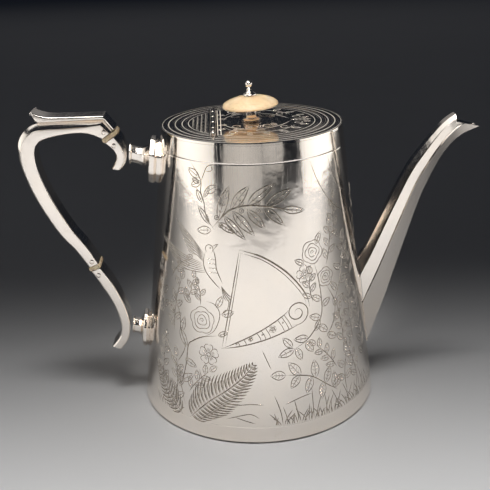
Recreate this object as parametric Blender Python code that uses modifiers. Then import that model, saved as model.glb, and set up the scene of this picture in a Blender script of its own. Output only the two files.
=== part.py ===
"""Silver coffee pot: a plain tapering body with a flush hinged lid, a bone and silver
finial, a faceted swan-neck spout and a square handle held off the heat by bone washers.

The body stands on the floor (Z = 0), the spout points to +X and the handle to -X.
All sizes below are in millimetres and are turned into metres by MM.
"""

import math

import bmesh
import bpy
from mathutils import Matrix, Vector

MM = 0.001

# Driving dimensions
BASE_RADIUS = 76.0
TOP_RADIUS = 55.0
BODY_HEIGHT = 179.6
WALL = 1.2
GAP = 0.3
HANDLE_REACH = 141.4
SPOUT_REACH = 139.0

# The origin is under the middle of the pot's whole length, so the body's axis is moved a little
AXIS_X = (HANDLE_REACH - SPOUT_REACH) / 2

# Foot and base
SKIRT_LIFT = 0.6
FOOT_OUTER = 74.4
FOOT_INNER = 70.4
FOOT_HEIGHT = 2.4
BASE_THICKNESS = 1.2

# Top plate, lid and hinge
PLATE_THICKNESS = 1.3
LID_RADIUS = 44.8
SEAT_INNER = 42.2
SEAT_THICKNESS = 1.0
BEZEL_OUTER = 41.4
BEZEL_THICKNESS = 0.9
BEZEL_HEIGHT = 3.6
BEZEL_FROM_HINGE = 8.0
HINGE_X = -23.5
HINGE_RISE = 0.4
BARREL_RADIUS = 1.75
BORE_RADIUS = 0.95
PIN_RADIUS = 0.6
BARREL_HALF = 32.0
END_KNUCKLE = 9.5
MIDDLE_KNUCKLE = 15.0
PIN_HEAD = 1.1
LEAF_WIDTH = 6.0
LEAF_LENGTH = 52.0
LEAF_THICKNESS = 0.8

# Finial, which leans a little to the handle
FINIAL_LEAN = math.radians(3.0)
DISC_RADIUS = 17.0
DISC_EDGE = 9.9
DISC_TOP = 15.6
DISC_BOTTOM = 8.4
CAP_FOOT = 4.2
BEAD_RADIUS = 2.2
BEAD_HEIGHT = 22.6
STUD_RADIUS = 1.1
STUD_BELOW_LID = 5.0
WASHER_RADIUS = 6.0
WASHER_THICKNESS = 0.8
NUT_RADIUS = 4.2
NUT_HEIGHT = 2.4

# Handle
HANDLE_HALF_DEPTH = 7.5
EDGE_CHAMFER = 0.6
INSULATOR_THICKNESS = 2.7
INSULATOR_PROUD = 0.6
TENON_PAST_PIN = 2.4
TENON_HALF_WIDTH = 2.2
TENON_HALF_DEPTH = 4.0
HANDLE_PIN_RADIUS = 1.35
HANDLE_PIN_PROUD = 0.1
PIN_ABOVE = 3.0
PIN_BELOW = 4.2
UPPER_TENON_SHIFT = -1.3

# Sockets that carry the handle, whose necks rise from the wall to the handle
UPPER_SOCKET_Z = 157.2
LOWER_SOCKET_Z = 43.2
SOCKET_RISE = 0.30
SOCKET_FACETS = 8

# Spout
SPOUT_WALL = 1.2
STRAINER_HOLE = 1.6
STRAINER_ROWS = 5
STRAINER_PITCH = 5.5
STRAINER_LOW = 50.0

# Steps of turned pieces, large and small, and the size by which cutters run past what they cut
ROUND_STEPS = 64
TRIM_STEPS = 128
SMALL_STEPS = 20
OVERRUN = 5.0

TAPER = (BASE_RADIUS - TOP_RADIUS) / BODY_HEIGHT


def body_radius(z):
    """Outer radius of the body at height z."""
    return BASE_RADIUS - TAPER * z


# ---------------------------------------------------------------- scene helpers

def clear_scene():
    for item in list(bpy.data.objects):
        bpy.data.objects.remove(item, do_unlink=True)


def new_collection(name):
    group = bpy.data.collections.new(name)
    bpy.context.scene.collection.children.link(group)
    return group


def new_material(name, colour, roughness, metallic):
    material = bpy.data.materials.new(name)
    material.use_nodes = True
    shader = material.node_tree.nodes["Principled BSDF"]
    shader.inputs["Base Color"].default_value = (*colour, 1.0)
    shader.inputs["Roughness"].default_value = roughness
    shader.inputs["Metallic"].default_value = metallic
    return material


def silver():
    return new_material("silver", (0.83, 0.80, 0.75), 0.12, 1.0)


def inner_silver():
    return new_material("inner_silver", (0.62, 0.55, 0.45), 0.35, 1.0)


def bone():
    return new_material("bone", (0.78, 0.62, 0.40), 0.42, 0.0)


def add_object(name, data, group, material=None, parent=None):
    item = bpy.data.objects.new(name, data)
    group.objects.link(item)
    item.parent = parent
    if material:
        data.materials.append(material)
    return item


def as_cutter(item):
    """Hide an object that only cuts others."""
    item.hide_render = True
    item.display_type = "WIRE"
    return item


def add_empty(name, location, group, parent=None):
    empty = bpy.data.objects.new(name, None)
    group.objects.link(empty)
    empty.location = Vector(location) * MM
    empty.parent = parent
    return empty


def mesh_from(name, build):
    """A mesh made by build(bm), which works in millimetres."""
    bm = bmesh.new()
    build(bm)
    bmesh.ops.scale(bm, vec=(MM, MM, MM), verts=bm.verts)
    bmesh.ops.recalc_face_normals(bm, faces=bm.faces)
    mesh = bpy.data.meshes.new(name)
    bm.to_mesh(mesh)
    bm.free()
    return mesh


def turned(name, profile, group, material, parent, steps=ROUND_STEPS, closed=True):
    """A turned piece: a profile of (radius, z) points, run down its outer side."""
    mesh = bpy.data.meshes.new(name)
    points = [(radius * MM, 0.0, z * MM) for radius, z in profile]
    last = len(points) - 1
    edges = [(i, i + 1) for i in range(last)]
    if closed:
        edges.append((last, 0))
    mesh.from_pydata(points, edges, [])
    item = add_object(name, mesh, group, material, parent)
    screw = item.modifiers.new("turn", "SCREW")
    screw.steps = steps
    screw.render_steps = steps
    screw.use_merge_vertices = True
    screw.merge_threshold = 0.00001
    return item


def rod(name, radius, length, group, material, parent, sides=16):
    """A round bar along its own Z, centred on its origin."""
    def build(bm):
        bmesh.ops.create_cone(
            bm, cap_ends=True, segments=sides, radius1=radius, radius2=radius, depth=length
        )
    return add_object(name, mesh_from(name, build), group, material, parent)


def block(name, size, group, material, parent):
    """A box of the given side lengths, centred on its origin."""
    def build(bm):
        bmesh.ops.create_cube(bm, size=1.0)
        bmesh.ops.scale(bm, vec=size, verts=bm.verts)
    return add_object(name, mesh_from(name, build), group, material, parent)


def flat_piece(name, outline, half_depth, group, material, parent, chamfer=0.0):
    """A flat outline of (x, z) points in the upright plane, as thick as twice half_depth."""
    curve = bpy.data.curves.new(name + "_outline", "CURVE")
    curve.dimensions = "2D"
    curve.fill_mode = "BOTH"
    spline = curve.splines.new("POLY")
    spline.points.add(len(outline) - 1)
    for point, (x, z) in zip(spline.points, outline):
        point.co = (x * MM, z * MM, 0.0, 1.0)
    spline.use_cyclic_u = True
    curve.extrude = (half_depth - chamfer) * MM
    curve.bevel_depth = chamfer * MM
    curve.bevel_resolution = 0
    curve.offset = -chamfer * MM
    shape = bpy.data.objects.new(name + "_curve", curve)
    group.objects.link(shape)
    bpy.context.view_layer.update()
    evaluated = shape.evaluated_get(bpy.context.evaluated_depsgraph_get())
    mesh = bpy.data.meshes.new_from_object(evaluated)
    bpy.data.objects.remove(shape, do_unlink=True)
    bm = bmesh.new()
    bm.from_mesh(mesh)
    bmesh.ops.remove_doubles(bm, verts=bm.verts, dist=0.00001)
    bmesh.ops.transform(bm, matrix=Matrix.Rotation(math.pi / 2, 4, "X"), verts=bm.verts)
    bmesh.ops.recalc_face_normals(bm, faces=bm.faces)
    bm.to_mesh(mesh)
    bm.free()
    mesh.name = name
    return add_object(name, mesh, group, material, parent)


def loft(name, sections, group, material, parent):
    """A closed solid through rings of points that all have the same count."""
    def build(bm):
        rings = [[bm.verts.new(point) for point in section] for section in sections]
        count = len(rings[0])
        for near, far in zip(rings, rings[1:]):
            for i in range(count):
                j = (i + 1) % count
                bm.faces.new((near[i], near[j], far[j], far[i]))
        bm.faces.new(rings[0])
        bm.faces.new(rings[-1])
        bmesh.ops.triangulate(bm, faces=bm.faces)
    return add_object(name, mesh_from(name, build), group, material, parent)


def cut(target, cutter, operation="DIFFERENCE"):
    boolean = target.modifiers.new("cut_" + cutter.name, "BOOLEAN")
    boolean.operation = operation
    boolean.object = cutter
    boolean.solver = "EXACT"


def curve_through(points, per_span=4):
    """A smooth line through the points (Catmull-Rom), ends included."""
    ends = [points[0]] + list(points) + [points[-1]]
    line = []
    for i in range(1, len(ends) - 2):
        a, b, c, d = (Vector(p) for p in ends[i - 1:i + 3])
        for step in range(per_span):
            t = step / per_span
            line.append(
                0.5 * ((2 * b) + (c - a) * t + (2 * a - 5 * b + 4 * c - d) * t * t
                       + (3 * b - a - 3 * c + d) * t ** 3)
            )
    line.append(Vector(points[-1]))
    return line


# ---------------------------------------------------------------- body

def make_body(group, cutters, metal, root):
    top = BODY_HEIGHT - PLATE_THICKNESS - GAP
    profile = [
        (body_radius(top), top),
        (body_radius(SKIRT_LIFT), SKIRT_LIFT),
        (body_radius(SKIRT_LIFT) - WALL, SKIRT_LIFT),
        (body_radius(top) - WALL, top),
    ]
    shell = turned("body_shell", profile, group, metal, root)
    for i, (z, y) in enumerate(strainer_places()):
        hole = as_cutter(rod(f"strainer_hole_{i}", STRAINER_HOLE, 6 * WALL, cutters, None, root, 8))
        hole.location = Vector((body_radius(z) - WALL / 2, y, z)) * MM
        hole.rotation_euler = (0.0, math.pi / 2, 0.0)
        cut(shell, hole)


def strainer_places():
    """Heights and sideways places of the pouring holes behind the spout, in staggered rows."""
    for row in range(STRAINER_ROWS):
        count = 2 + row % 2
        for k in range(count):
            yield STRAINER_LOW + row * STRAINER_PITCH, (k - (count - 1) / 2) * STRAINER_PITCH


def make_foot(group, metal, root):
    turned("foot_ring", ring_profile(FOOT_OUTER, FOOT_INNER, FOOT_HEIGHT, FOOT_HEIGHT),
           group, metal, root)
    floor = FOOT_HEIGHT + GAP
    rim = body_radius(floor + BASE_THICKNESS) - WALL - GAP
    disc = [
        (0.0, floor + BASE_THICKNESS),
        (rim, floor + BASE_THICKNESS),
        (rim, floor),
        (0.0, floor),
    ]
    turned("base_plate", disc, group, metal, root, closed=False)


# ---------------------------------------------------------------- top, lid and hinge

def make_top_plate(group, cutters, metal, root):
    top = BODY_HEIGHT
    low = BODY_HEIGHT - PLATE_THICKNESS
    disc = [(0.0, top), (TOP_RADIUS, top), (body_radius(low), low), (0.0, low)]
    plate = turned("top_plate", disc, group, metal, root, closed=False)
    edge = lid_edge() - GAP
    opening = as_cutter(d_plate("lid_opening", LID_RADIUS + GAP, edge, low - OVERRUN,
                                top + OVERRUN, cutters, None, root))
    cut(plate, opening)
    slot_width = 2 * (BARREL_RADIUS + GAP)
    slot_length = 2 * (BARREL_HALF + PIN_HEAD + 2 * GAP)
    slot = as_cutter(block("hinge_slot", (slot_width, slot_length, 2 * OVERRUN), cutters, None, root))
    slot.location = Vector((HINGE_X, 0.0, top)) * MM
    cut(plate, slot)
    seat_top = low - GAP
    inner = body_radius(seat_top) - WALL - GAP
    turned("lid_seat_ring", ring_profile(inner, SEAT_INNER, seat_top, SEAT_THICKNESS),
           group, metal, root)


def lid_edge():
    """The straight side of the lid, right of the hinge barrel."""
    return HINGE_X + BARREL_RADIUS + GAP


def d_plate(name, radius, edge, low, high, group, material, parent):
    """A round plate cut straight at x = edge."""
    start = math.acos(edge / radius)
    steps = ROUND_STEPS
    outline = []
    for i in range(steps + 1):
        angle = -start + 2 * start * i / steps
        outline.append((radius * math.cos(angle), radius * math.sin(angle)))
    lower = [(x, y, low) for x, y in outline]
    upper = [(x, y, high) for x, y in outline]
    return loft(name, [lower, upper], group, material, parent)


def knuckle(name, start, end, group, metal, parent):
    """One tube of the hinge barrel, from y = start to y = end, in the hinge's own frame."""
    half = (end - start) / 2
    profile = ring_profile(BARREL_RADIUS, BORE_RADIUS, half, 2 * half)
    tube = turned(name, profile, group, metal, parent, steps=SMALL_STEPS)
    tube.location = (0.0, (start + end) / 2 * MM, 0.0)
    tube.rotation_euler = (math.pi / 2, 0.0, 0.0)
    return tube


def make_hinge(group, metal, fixed, moving):
    end = BARREL_HALF
    inner = BARREL_HALF - END_KNUCKLE
    middle = MIDDLE_KNUCKLE / 2
    knuckle("hinge_knuckle_front", -end, -inner, group, metal, fixed)
    knuckle("hinge_knuckle_middle", -middle, middle, group, metal, fixed)
    knuckle("hinge_knuckle_back", inner, end, group, metal, fixed)
    knuckle("lid_knuckle_front", -inner + GAP, -middle - GAP, group, metal, moving)
    knuckle("lid_knuckle_back", middle + GAP, inner - GAP, group, metal, moving)
    pin = rod("hinge_pin", PIN_RADIUS, 2 * end + 2 * PIN_HEAD, group, metal, fixed)
    pin.rotation_euler = (math.pi / 2, 0.0, 0.0)
    for side, name in ((-1, "pin_cap_front"), (1, "pin_cap_back")):
        make_pin_cap(name, side, group, metal, fixed)
    under = -HINGE_RISE - PLATE_THICKNESS - GAP - LEAF_THICKNESS / 2
    for name, sign, parent in (("hinge_leaf_fixed", -1, fixed), ("hinge_leaf_lid", 1, moving)):
        length = LEAF_LENGTH if sign < 0 else 2 * inner - 2 * GAP
        leaf = block(name, (LEAF_WIDTH, length, LEAF_THICKNESS), group, metal, parent)
        out = BARREL_RADIUS + GAP + LEAF_WIDTH / 2
        leaf.location = Vector((sign * out, 0.0, under)) * MM


def make_pin_cap(name, side, group, metal, parent):
    """A round nut over the pin's end, closing the barrel."""
    half = PIN_HEAD / 2
    profile = ring_profile(BARREL_RADIUS, PIN_RADIUS + GAP, half, PIN_HEAD)
    cap = turned(name, profile, group, metal, parent, steps=SMALL_STEPS)
    cap.location = (0.0, side * (BARREL_HALF + GAP + half) * MM, 0.0)
    cap.rotation_euler = (math.pi / 2, 0.0, 0.0)


def make_lid(group, cutters, metal, root, moving):
    top = BODY_HEIGHT
    low = BODY_HEIGHT - PLATE_THICKNESS
    plate = d_plate("lid_plate", LID_RADIUS, lid_edge(), low, top, group, metal, None)
    hole = as_cutter(rod("stud_hole", STUD_RADIUS + GAP, 8 * PLATE_THICKNESS, cutters, None, root))
    hole.location = (0.0, 0.0, (low + top) / 2 * MM)
    cut(plate, hole)
    bezel_top = low - GAP
    profile = ring_profile(BEZEL_OUTER, BEZEL_OUTER - BEZEL_THICKNESS, bezel_top, BEZEL_HEIGHT)
    bezel = turned("lid_bezel", profile, group, metal, None)
    size = (TOP_RADIUS, 2 * TOP_RADIUS, 2 * (BEZEL_HEIGHT + OVERRUN))
    away = as_cutter(block("bezel_end", size, cutters, None, root))
    away.location = Vector((lid_edge() + BEZEL_FROM_HINGE - TOP_RADIUS / 2, 0.0, low)) * MM
    cut(bezel, away)
    for piece in (plate, bezel):
        piece.parent = moving
        piece.matrix_parent_inverse = Matrix.Translation(-moving.location)


# ---------------------------------------------------------------- finial

def make_finial(group, metal, ivory, lean):
    """The pieces stand on the lid's top, which is the height 0 of their leaning frame."""
    hole = STUD_RADIUS + GAP
    pillar = [
        (3.4, DISC_BOTTOM - GAP),
        (3.5, 5.6),
        (4.7, 2.9),
        (4.9, 2.2),
        (6.2, 1.4),
        (6.2, GAP),
        (hole, GAP),
        (hole, DISC_BOTTOM - GAP),
    ]
    turned("finial_pillar", pillar, group, metal, lean, steps=8)
    turned("finial_disc", disc_profile(hole), group, ivory, lean, steps=2 * SMALL_STEPS)
    turned("finial_cap", cap_profile(), group, metal, lean, steps=SMALL_STEPS, closed=False)
    washer_top = -PLATE_THICKNESS - GAP
    stud_low = washer_top - STUD_BELOW_LID
    stud_top = DISC_TOP - GAP
    stud = rod("finial_stud", STUD_RADIUS, stud_top - stud_low, group, metal, lean)
    stud.location = (0.0, 0.0, (stud_top + stud_low) / 2 * MM)
    turned("finial_washer", ring_profile(WASHER_RADIUS, hole, washer_top, WASHER_THICKNESS),
           group, metal, lean, steps=SMALL_STEPS)
    nut_top = washer_top - WASHER_THICKNESS - GAP
    turned("finial_nut", ring_profile(NUT_RADIUS, hole, nut_top, NUT_HEIGHT), group, metal, lean, steps=6)


def ring_profile(outer, inner, top, height):
    """Section of a flat ring, run down its outer side."""
    return [(outer, top), (outer, top - height), (inner, top - height), (inner, top)]


def disc_profile(hole):
    """A lens with a domed top: an arc from the crown to the edge, then a shallow underside."""
    rise = DISC_TOP - DISC_EDGE
    arc = []
    steps = 6
    for i in range(steps + 1):
        angle = math.pi / 2 * i / steps
        arc.append((max(hole, DISC_RADIUS * math.sin(angle)), DISC_EDGE + rise * math.cos(angle)))
    return arc + [(DISC_RADIUS - 0.8, DISC_EDGE - 0.7), (hole, DISC_BOTTOM)]


def cap_profile():
    """Bead, neck and flared foot, closed below by a flat face on the stud's end."""
    foot = DISC_TOP + GAP
    profile = []
    steps = 7
    neck_angle = 0.86 * math.pi
    for i in range(steps + 1):
        angle = neck_angle * i / steps
        profile.append((BEAD_RADIUS * math.sin(angle), BEAD_HEIGHT + BEAD_RADIUS * math.cos(angle)))
    profile += [(1.3, BEAD_HEIGHT - 2.6), (2.2, foot + 3.0), (CAP_FOOT, foot + 1.0), (CAP_FOOT, foot)]
    return profile + [(0.0, foot)]


# ---------------------------------------------------------------- spout

# The spout's top and bottom edges seen from the side, from inside the body to past the lip
SPOUT_TOP_LINE = [(56.0, 66.0), (66.0, 87.0), (71.6, 97.0), (84.2, 124.2), (95.5, 146.7),
                  (103.1, 157.9), (111.5, 168.5), (118.0, 175.6), (125.0, 180.2), (136.0, 184.0)]
SPOUT_BOTTOM_LINE = [(67.5, 10.0), (77.6, 40.0), (84.9, 62.2), (92.5, 87.9), (103.4, 123.4),
                     (109.0, 137.9), (114.9, 150.4), (121.3, 160.2), (129.3, 167.4), (142.0, 172.6)]
LIP = [(124.2, 175.6), (128.5, 174.4), (134.0, 173.2), (SPOUT_REACH, 171.9)]


def spout_sections(shrink=0.0):
    """Eight-sided rings along the spout: a narrow top, sloped shoulders, sides and a wide keel."""
    tops = curve_through(SPOUT_TOP_LINE, 3)
    bottoms = curve_through(SPOUT_BOTTOM_LINE, 3)
    last = len(tops) - 1
    sections = []
    for i, (upper, lower) in enumerate(zip(tops, bottoms)):
        t = i / last
        depth = (lower - upper).length
        inset = shrink / depth
        half_width = 7.0 + 4.5 * (1 - t) ** 1.6 - 2.6 * max(0.0, t - 0.8) / 0.2
        side = half_width - shrink
        top_half = 2.9 - 0.4 * shrink
        keel_half = 1.5 + 1.4 * t - 0.4 * shrink
        shoulder = 0.24 + 0.04 * t
        chine = 0.50 + 0.20 * t
        ring = (
            (inset, top_half), (shoulder, side), (chine, side), (1 - inset, keel_half),
            (1 - inset, -keel_half), (chine, -side), (shoulder, -side), (inset, -top_half),
        )
        section = []
        for share, y in ring:
            place = upper.lerp(lower, share)
            section.append((place.x, y, place.y))
        sections.append(section)
    return sections


def make_spout(group, cutters, metal, root):
    spout = loft("spout_shell", spout_sections(), group, metal, root)
    inner = spout_sections(SPOUT_WALL)
    channel = as_cutter(loft("spout_channel", stretched(inner), cutters, None, root))
    cut(spout, channel)
    cut(spout, body_cone("spout_trim", cutters, root))
    low, high, far = LIP[-1][1] - OVERRUN, SPOUT_TOP_LINE[-1][1] + OVERRUN, SPOUT_REACH + 4 * OVERRUN
    above = [(LIP[0][0], high)] + LIP + [(SPOUT_REACH, low), (far, low), (far, high)]
    mouth = as_cutter(flat_piece("mouth_cutter", above, TOP_RADIUS, cutters, None, root))
    cut(spout, mouth)


def body_cone(name, cutters, root):
    """A cutter that clears the body's own space and a gap round it."""
    top = BODY_HEIGHT + OVERRUN
    cone = [
        (0.0, top), (body_radius(top) + GAP, top), (body_radius(-OVERRUN) + GAP, -OVERRUN),
        (0.0, -OVERRUN),
    ]
    return as_cutter(turned(name, cone, cutters, None, root, steps=TRIM_STEPS, closed=False))


def stretched(sections):
    """The same rings, with the first and last pushed outwards so that a cutter runs through."""
    first = [Vector(a) * 1.2 - Vector(b) * 0.2 for a, b in zip(sections[0], sections[1])]
    last = [Vector(a) * 1.5 - Vector(b) * 0.5 for a, b in zip(sections[-1], sections[-2])]
    return [first] + sections[1:-1] + [last]


# ---------------------------------------------------------------- handle

# Side outlines, as the two long edges of each piece, from its upper end to its lower end
GRIP_SHOULDER = (-84.0, 178.1)
GRIP_OUTER = [(-88.9, 184.8), (-110.0, 184.6), (-127.5, 184.2), (-135.5, 180.6), (-140.2, 174.5),
              (-HANDLE_REACH, 167.0), (-140.2, 155.9), (-133.7, 136.5), (-122.3, 114.6),
              (-113.6, 103.4), (-105.9, 91.1)]
GRIP_INNER = [(-90.6, 173.7), (-96.5, 176.4), (-102.5, 177.6), (-112.0, 177.2), (-122.2, 175.3),
              (-128.6, 172.6), (-131.4, 167.0), (-130.4, 154.6), (-124.2, 136.7), (-114.4, 117.2),
              (-106.2, 105.0), (-99.8, 93.3)]
PLATE_TOP = [(-131.6, 191.2), (-126.5, 189.2), (-121.0, 188.0), (-110.6, 187.7), (-88.4, 187.6)]
PLATE_END = [(-82.2, 179.3), (-83.6, 178.5)]
PLATE_UNDER = [(-88.6, 185.2), (-110.0, 185.0), (-127.5, 184.6), (-129.8, 186.6)]
UPPER_STUB_OUTER = [(-80.4, 175.9), (-77.8, 171.5), (-76.3, 167.0), (-76.6, 162.0), (-77.9, 157.5),
                    (-81.0, 153.9)]
UPPER_STUB_INNER = [(-88.8, 170.8), (-85.0, 167.4), (-82.8, 163.4), (-83.4, 159.6), (-86.0, 154.9)]
LOWER_STUB_OUTER = [(-104.7, 87.9), (-98.6, 77.2), (-92.9, 65.7), (-89.6, 54.8), (-88.9, 46.4),
                    (-90.6, 40.5), (-95.6, 34.2)]
LOWER_STUB_INNER = [(-98.7, 90.1), (-92.4, 79.7), (-86.6, 66.0), (-83.6, 54.5), (-83.4, 46.2),
                    (-85.6, 38.2), (-90.2, 32.0)]
UPPER_INSULATOR = ((-90.1, 171.9), (-81.0, 177.6))
LOWER_INSULATOR = ((-105.9, 89.3), (-98.7, 91.9))

# Sections of the sockets as (radius, distance from the wall), from the handle's end to the wall
UPPER_SOCKET = [
    (6.4, 18.4), (6.6, 17.6), (5.5, 16.6), (5.3, 12.0), (6.3, 9.6), (9.0, 7.4), (14.0, 5.6),
    (14.8, 4.6), (14.8, 1.8), (13.4, 1.0), (13.4, -4.0),
]
LOWER_SOCKET = [
    (5.6, 11.4), (5.8, 10.8), (5.2, 10.0), (5.2, 6.8), (6.4, 5.4), (9.0, 4.5), (12.0, 4.0),
    (12.4, 3.2), (12.4, 1.2), (11.2, 0.6), (11.2, -4.0),
]


def two_sided(outer, inner):
    """The closed outline between a piece's outer and inner edges."""
    return curve_through(outer, 3) + list(reversed(curve_through(inner, 3)))


def insulator_frame(ends):
    """Centre, direction across the bar and direction along it, for a washer between two ends."""
    a, b = (Vector(end) for end in ends)
    across = (b - a).normalized()
    along = Vector((across.y, -across.x))
    return (a + b) / 2, across, along, (b - a).length


def rectangle(centre, across, along, width, low, high):
    half = across * width / 2
    return [
        tuple(centre - half + along * low), tuple(centre + half + along * low),
        tuple(centre + half + along * high), tuple(centre - half + along * high),
    ]


def make_insulator(name, ends, shift, group, cutters, ivory, root, upper_piece, lower_piece):
    """A bone washer with a tenon on each side; the silver pieces get pockets for the tenons.

    The tenons lie on the bar's own middle, which is shift away from the washer's middle.
    """
    centre, across, along, length = insulator_frame(ends)
    half = INSULATOR_THICKNESS / 2
    outline = rectangle(centre, across, along, length, -half, half)
    depth = HANDLE_HALF_DEPTH + INSULATOR_PROUD
    washer = flat_piece(name, outline, depth, group, ivory, root, EDGE_CHAMFER)
    middle = centre + across * shift
    low = -half - PIN_ABOVE - TENON_PAST_PIN
    high = half + PIN_BELOW + TENON_PAST_PIN
    bar = rectangle(middle, across, along, 2 * TENON_HALF_WIDTH, low, high)
    tenon = flat_piece(name + "_tenons", bar, TENON_HALF_DEPTH, cutters, None, root)
    cut(washer, as_cutter(tenon), "UNION")
    room = rectangle(middle, across, along, 2 * (TENON_HALF_WIDTH + GAP), low - GAP, high + GAP)
    pocket = as_cutter(flat_piece(name + "_pocket", room, TENON_HALF_DEPTH + GAP, cutters, None, root))
    for setback, piece, which in (
        (-half - PIN_ABOVE, upper_piece, "above"), (half + PIN_BELOW, lower_piece, "below"),
    ):
        place = middle + along * setback
        spot = Vector((place.x, 0.0, place.y)) * MM
        pin = rod(f"{name}_pin_{which}", HANDLE_PIN_RADIUS, 2 * (HANDLE_HALF_DEPTH + HANDLE_PIN_PROUD),
                  group, piece.data.materials[0], root)
        pin_hole = rod(f"{name}_pin_hole_{which}", HANDLE_PIN_RADIUS + GAP, 4 * HANDLE_HALF_DEPTH,
                       cutters, None, root, 14)
        for item in (pin, as_cutter(pin_hole)):
            item.location = spot
            item.rotation_euler = (math.pi / 2, 0.0, 0.0)
        cut(piece, pin_hole)
        cut(piece, pocket)
        cut(washer, pin_hole)


def make_handle(group, cutters, metal, ivory, root):
    depth = HANDLE_HALF_DEPTH
    outline = [Vector(GRIP_SHOULDER)] + two_sided(GRIP_OUTER, GRIP_INNER)
    grip = flat_piece("handle_grip", outline, depth, group, metal, root, EDGE_CHAMFER)
    upper = flat_piece("upper_handle_stub", two_sided(UPPER_STUB_OUTER, UPPER_STUB_INNER), depth,
                       group, metal, root, EDGE_CHAMFER)
    lower = flat_piece("lower_handle_stub", two_sided(LOWER_STUB_OUTER, LOWER_STUB_INNER), depth,
                       group, metal, root, EDGE_CHAMFER)
    plate = curve_through(PLATE_TOP, 3) + [Vector(point) for point in PLATE_END + PLATE_UNDER]
    flat_piece("thumb_plate", plate, depth, group, metal, root, EDGE_CHAMFER)
    make_insulator("upper_insulator", UPPER_INSULATOR, UPPER_TENON_SHIFT, group, cutters, ivory,
                   root, grip, upper)
    make_insulator("lower_insulator", LOWER_INSULATOR, 0.0, group, cutters, ivory, root, grip, lower)


def make_socket(name, height, profile, group, metal, root):
    """A faceted trumpet from the body's wall, whose neck rises towards the handle."""
    sections = []
    for radius, distance in profile:
        ring = []
        for k in range(SOCKET_FACETS):
            angle = math.pi * (2 * k + 1) / SOCKET_FACETS
            z = height + SOCKET_RISE * distance + radius * math.cos(angle)
            x = -body_radius(z) - distance
            ring.append((x, radius * math.sin(angle), z))
        sections.append(ring)
    return loft(name, sections, group, metal, root)


def make_sockets(group, cutters, metal, root):
    trim = body_cone("socket_trim", cutters, root)
    for name, height, profile in (
        ("upper_socket", UPPER_SOCKET_Z, UPPER_SOCKET), ("lower_socket", LOWER_SOCKET_Z, LOWER_SOCKET),
    ):
        cut(make_socket(name, height, profile, group, metal, root), trim)


def main():
    clear_scene()
    parts = new_collection("silver_coffee_pot")
    cutters = new_collection("cutters")
    metal = silver()
    lining = inner_silver()
    ivory = bone()
    root = add_empty("pot_axis", (AXIS_X, 0.0, 0.0), parts)
    hinge_place = (HINGE_X, 0.0, BODY_HEIGHT + HINGE_RISE)
    fixed = add_empty("hinge_fixed_side", hinge_place, parts, root)
    moving = add_empty("lid_hinge_axis", hinge_place, parts, root)
    lean = add_empty("finial_lean", (-HINGE_X, 0.0, -HINGE_RISE), parts, moving)
    lean.rotation_euler = (0.0, -FINIAL_LEAN, 0.0)
    make_body(parts, cutters, metal, root)
    make_foot(parts, metal, root)
    make_top_plate(parts, cutters, metal, root)
    make_hinge(parts, metal, fixed, moving)
    make_lid(parts, cutters, metal, root, moving)
    make_finial(parts, metal, ivory, lean)
    make_spout(parts, cutters, metal, root)
    make_handle(parts, cutters, metal, ivory, root)
    make_sockets(parts, cutters, metal, root)


main()
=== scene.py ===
"""Looks of the silver coffee pot: polished surfaces, engraving, bone parts and the studio.

Lengths in this file are millimetres in the pot's own frame, whose upright axis is the body's
axis. They become metres in the shared frame when a mesh is made.
"""

import contextlib
import itertools
import math
import random

import bmesh
import bpy
import numpy as np
from mathutils import Matrix, Vector

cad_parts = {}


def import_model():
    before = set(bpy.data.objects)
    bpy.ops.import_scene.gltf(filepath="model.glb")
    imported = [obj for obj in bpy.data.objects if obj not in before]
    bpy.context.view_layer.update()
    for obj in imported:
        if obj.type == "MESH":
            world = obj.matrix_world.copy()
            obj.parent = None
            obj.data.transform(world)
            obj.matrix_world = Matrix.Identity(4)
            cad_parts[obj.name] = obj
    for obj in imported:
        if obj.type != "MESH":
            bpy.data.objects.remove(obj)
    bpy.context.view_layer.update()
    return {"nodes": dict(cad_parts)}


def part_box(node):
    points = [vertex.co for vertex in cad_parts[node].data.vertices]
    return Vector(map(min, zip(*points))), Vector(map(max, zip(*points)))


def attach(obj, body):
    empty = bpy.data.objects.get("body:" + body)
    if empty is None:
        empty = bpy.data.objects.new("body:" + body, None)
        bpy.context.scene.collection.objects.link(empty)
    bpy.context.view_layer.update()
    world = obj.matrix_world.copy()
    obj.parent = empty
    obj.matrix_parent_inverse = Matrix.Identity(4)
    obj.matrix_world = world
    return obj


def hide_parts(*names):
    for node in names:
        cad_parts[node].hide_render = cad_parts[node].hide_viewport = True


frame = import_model()

MM = 0.001


# ---------------------------------------------------------------- measures from the frame

def box_mm(node):
    low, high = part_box(node)
    return low / MM, high / MM


PLATE_LOW, PLATE_HIGH = box_mm("top_plate")
SHELL_LOW, SHELL_HIGH = box_mm("body_shell")
LID_LOW, LID_HIGH = box_mm("lid_plate")
KNUCKLE_LOW, KNUCKLE_HIGH = box_mm("hinge_knuckle_middle")
CAP_LOW = box_mm("pin_cap_front")[0]

AXIS = (SHELL_LOW.x + SHELL_HIGH.x) / 2
TOP = PLATE_HIGH.z
PLATE_DOWN = PLATE_LOW.z
SHELL_TOP = SHELL_HIGH.z
SKIRT = SHELL_LOW.z
SKIRT_RADIUS = SHELL_HIGH.y
LOW_RIM = PLATE_HIGH.y
TAPER = (SKIRT_RADIUS - LOW_RIM) / (PLATE_DOWN - SKIRT)
TILT = math.atan(TAPER)
LID_RADIUS = LID_HIGH.x - AXIS
LID_EDGE = LID_LOW.x - AXIS
HINGE_X = (KNUCKLE_LOW.x + KNUCKLE_HIGH.x) / 2 - AXIS
HINGE_Z = (KNUCKLE_LOW.z + KNUCKLE_HIGH.z) / 2
BARREL = (KNUCKLE_HIGH.z - KNUCKLE_LOW.z) / 2


def body_radius(z):
    return SKIRT_RADIUS - TAPER * (z - SKIRT)


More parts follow.
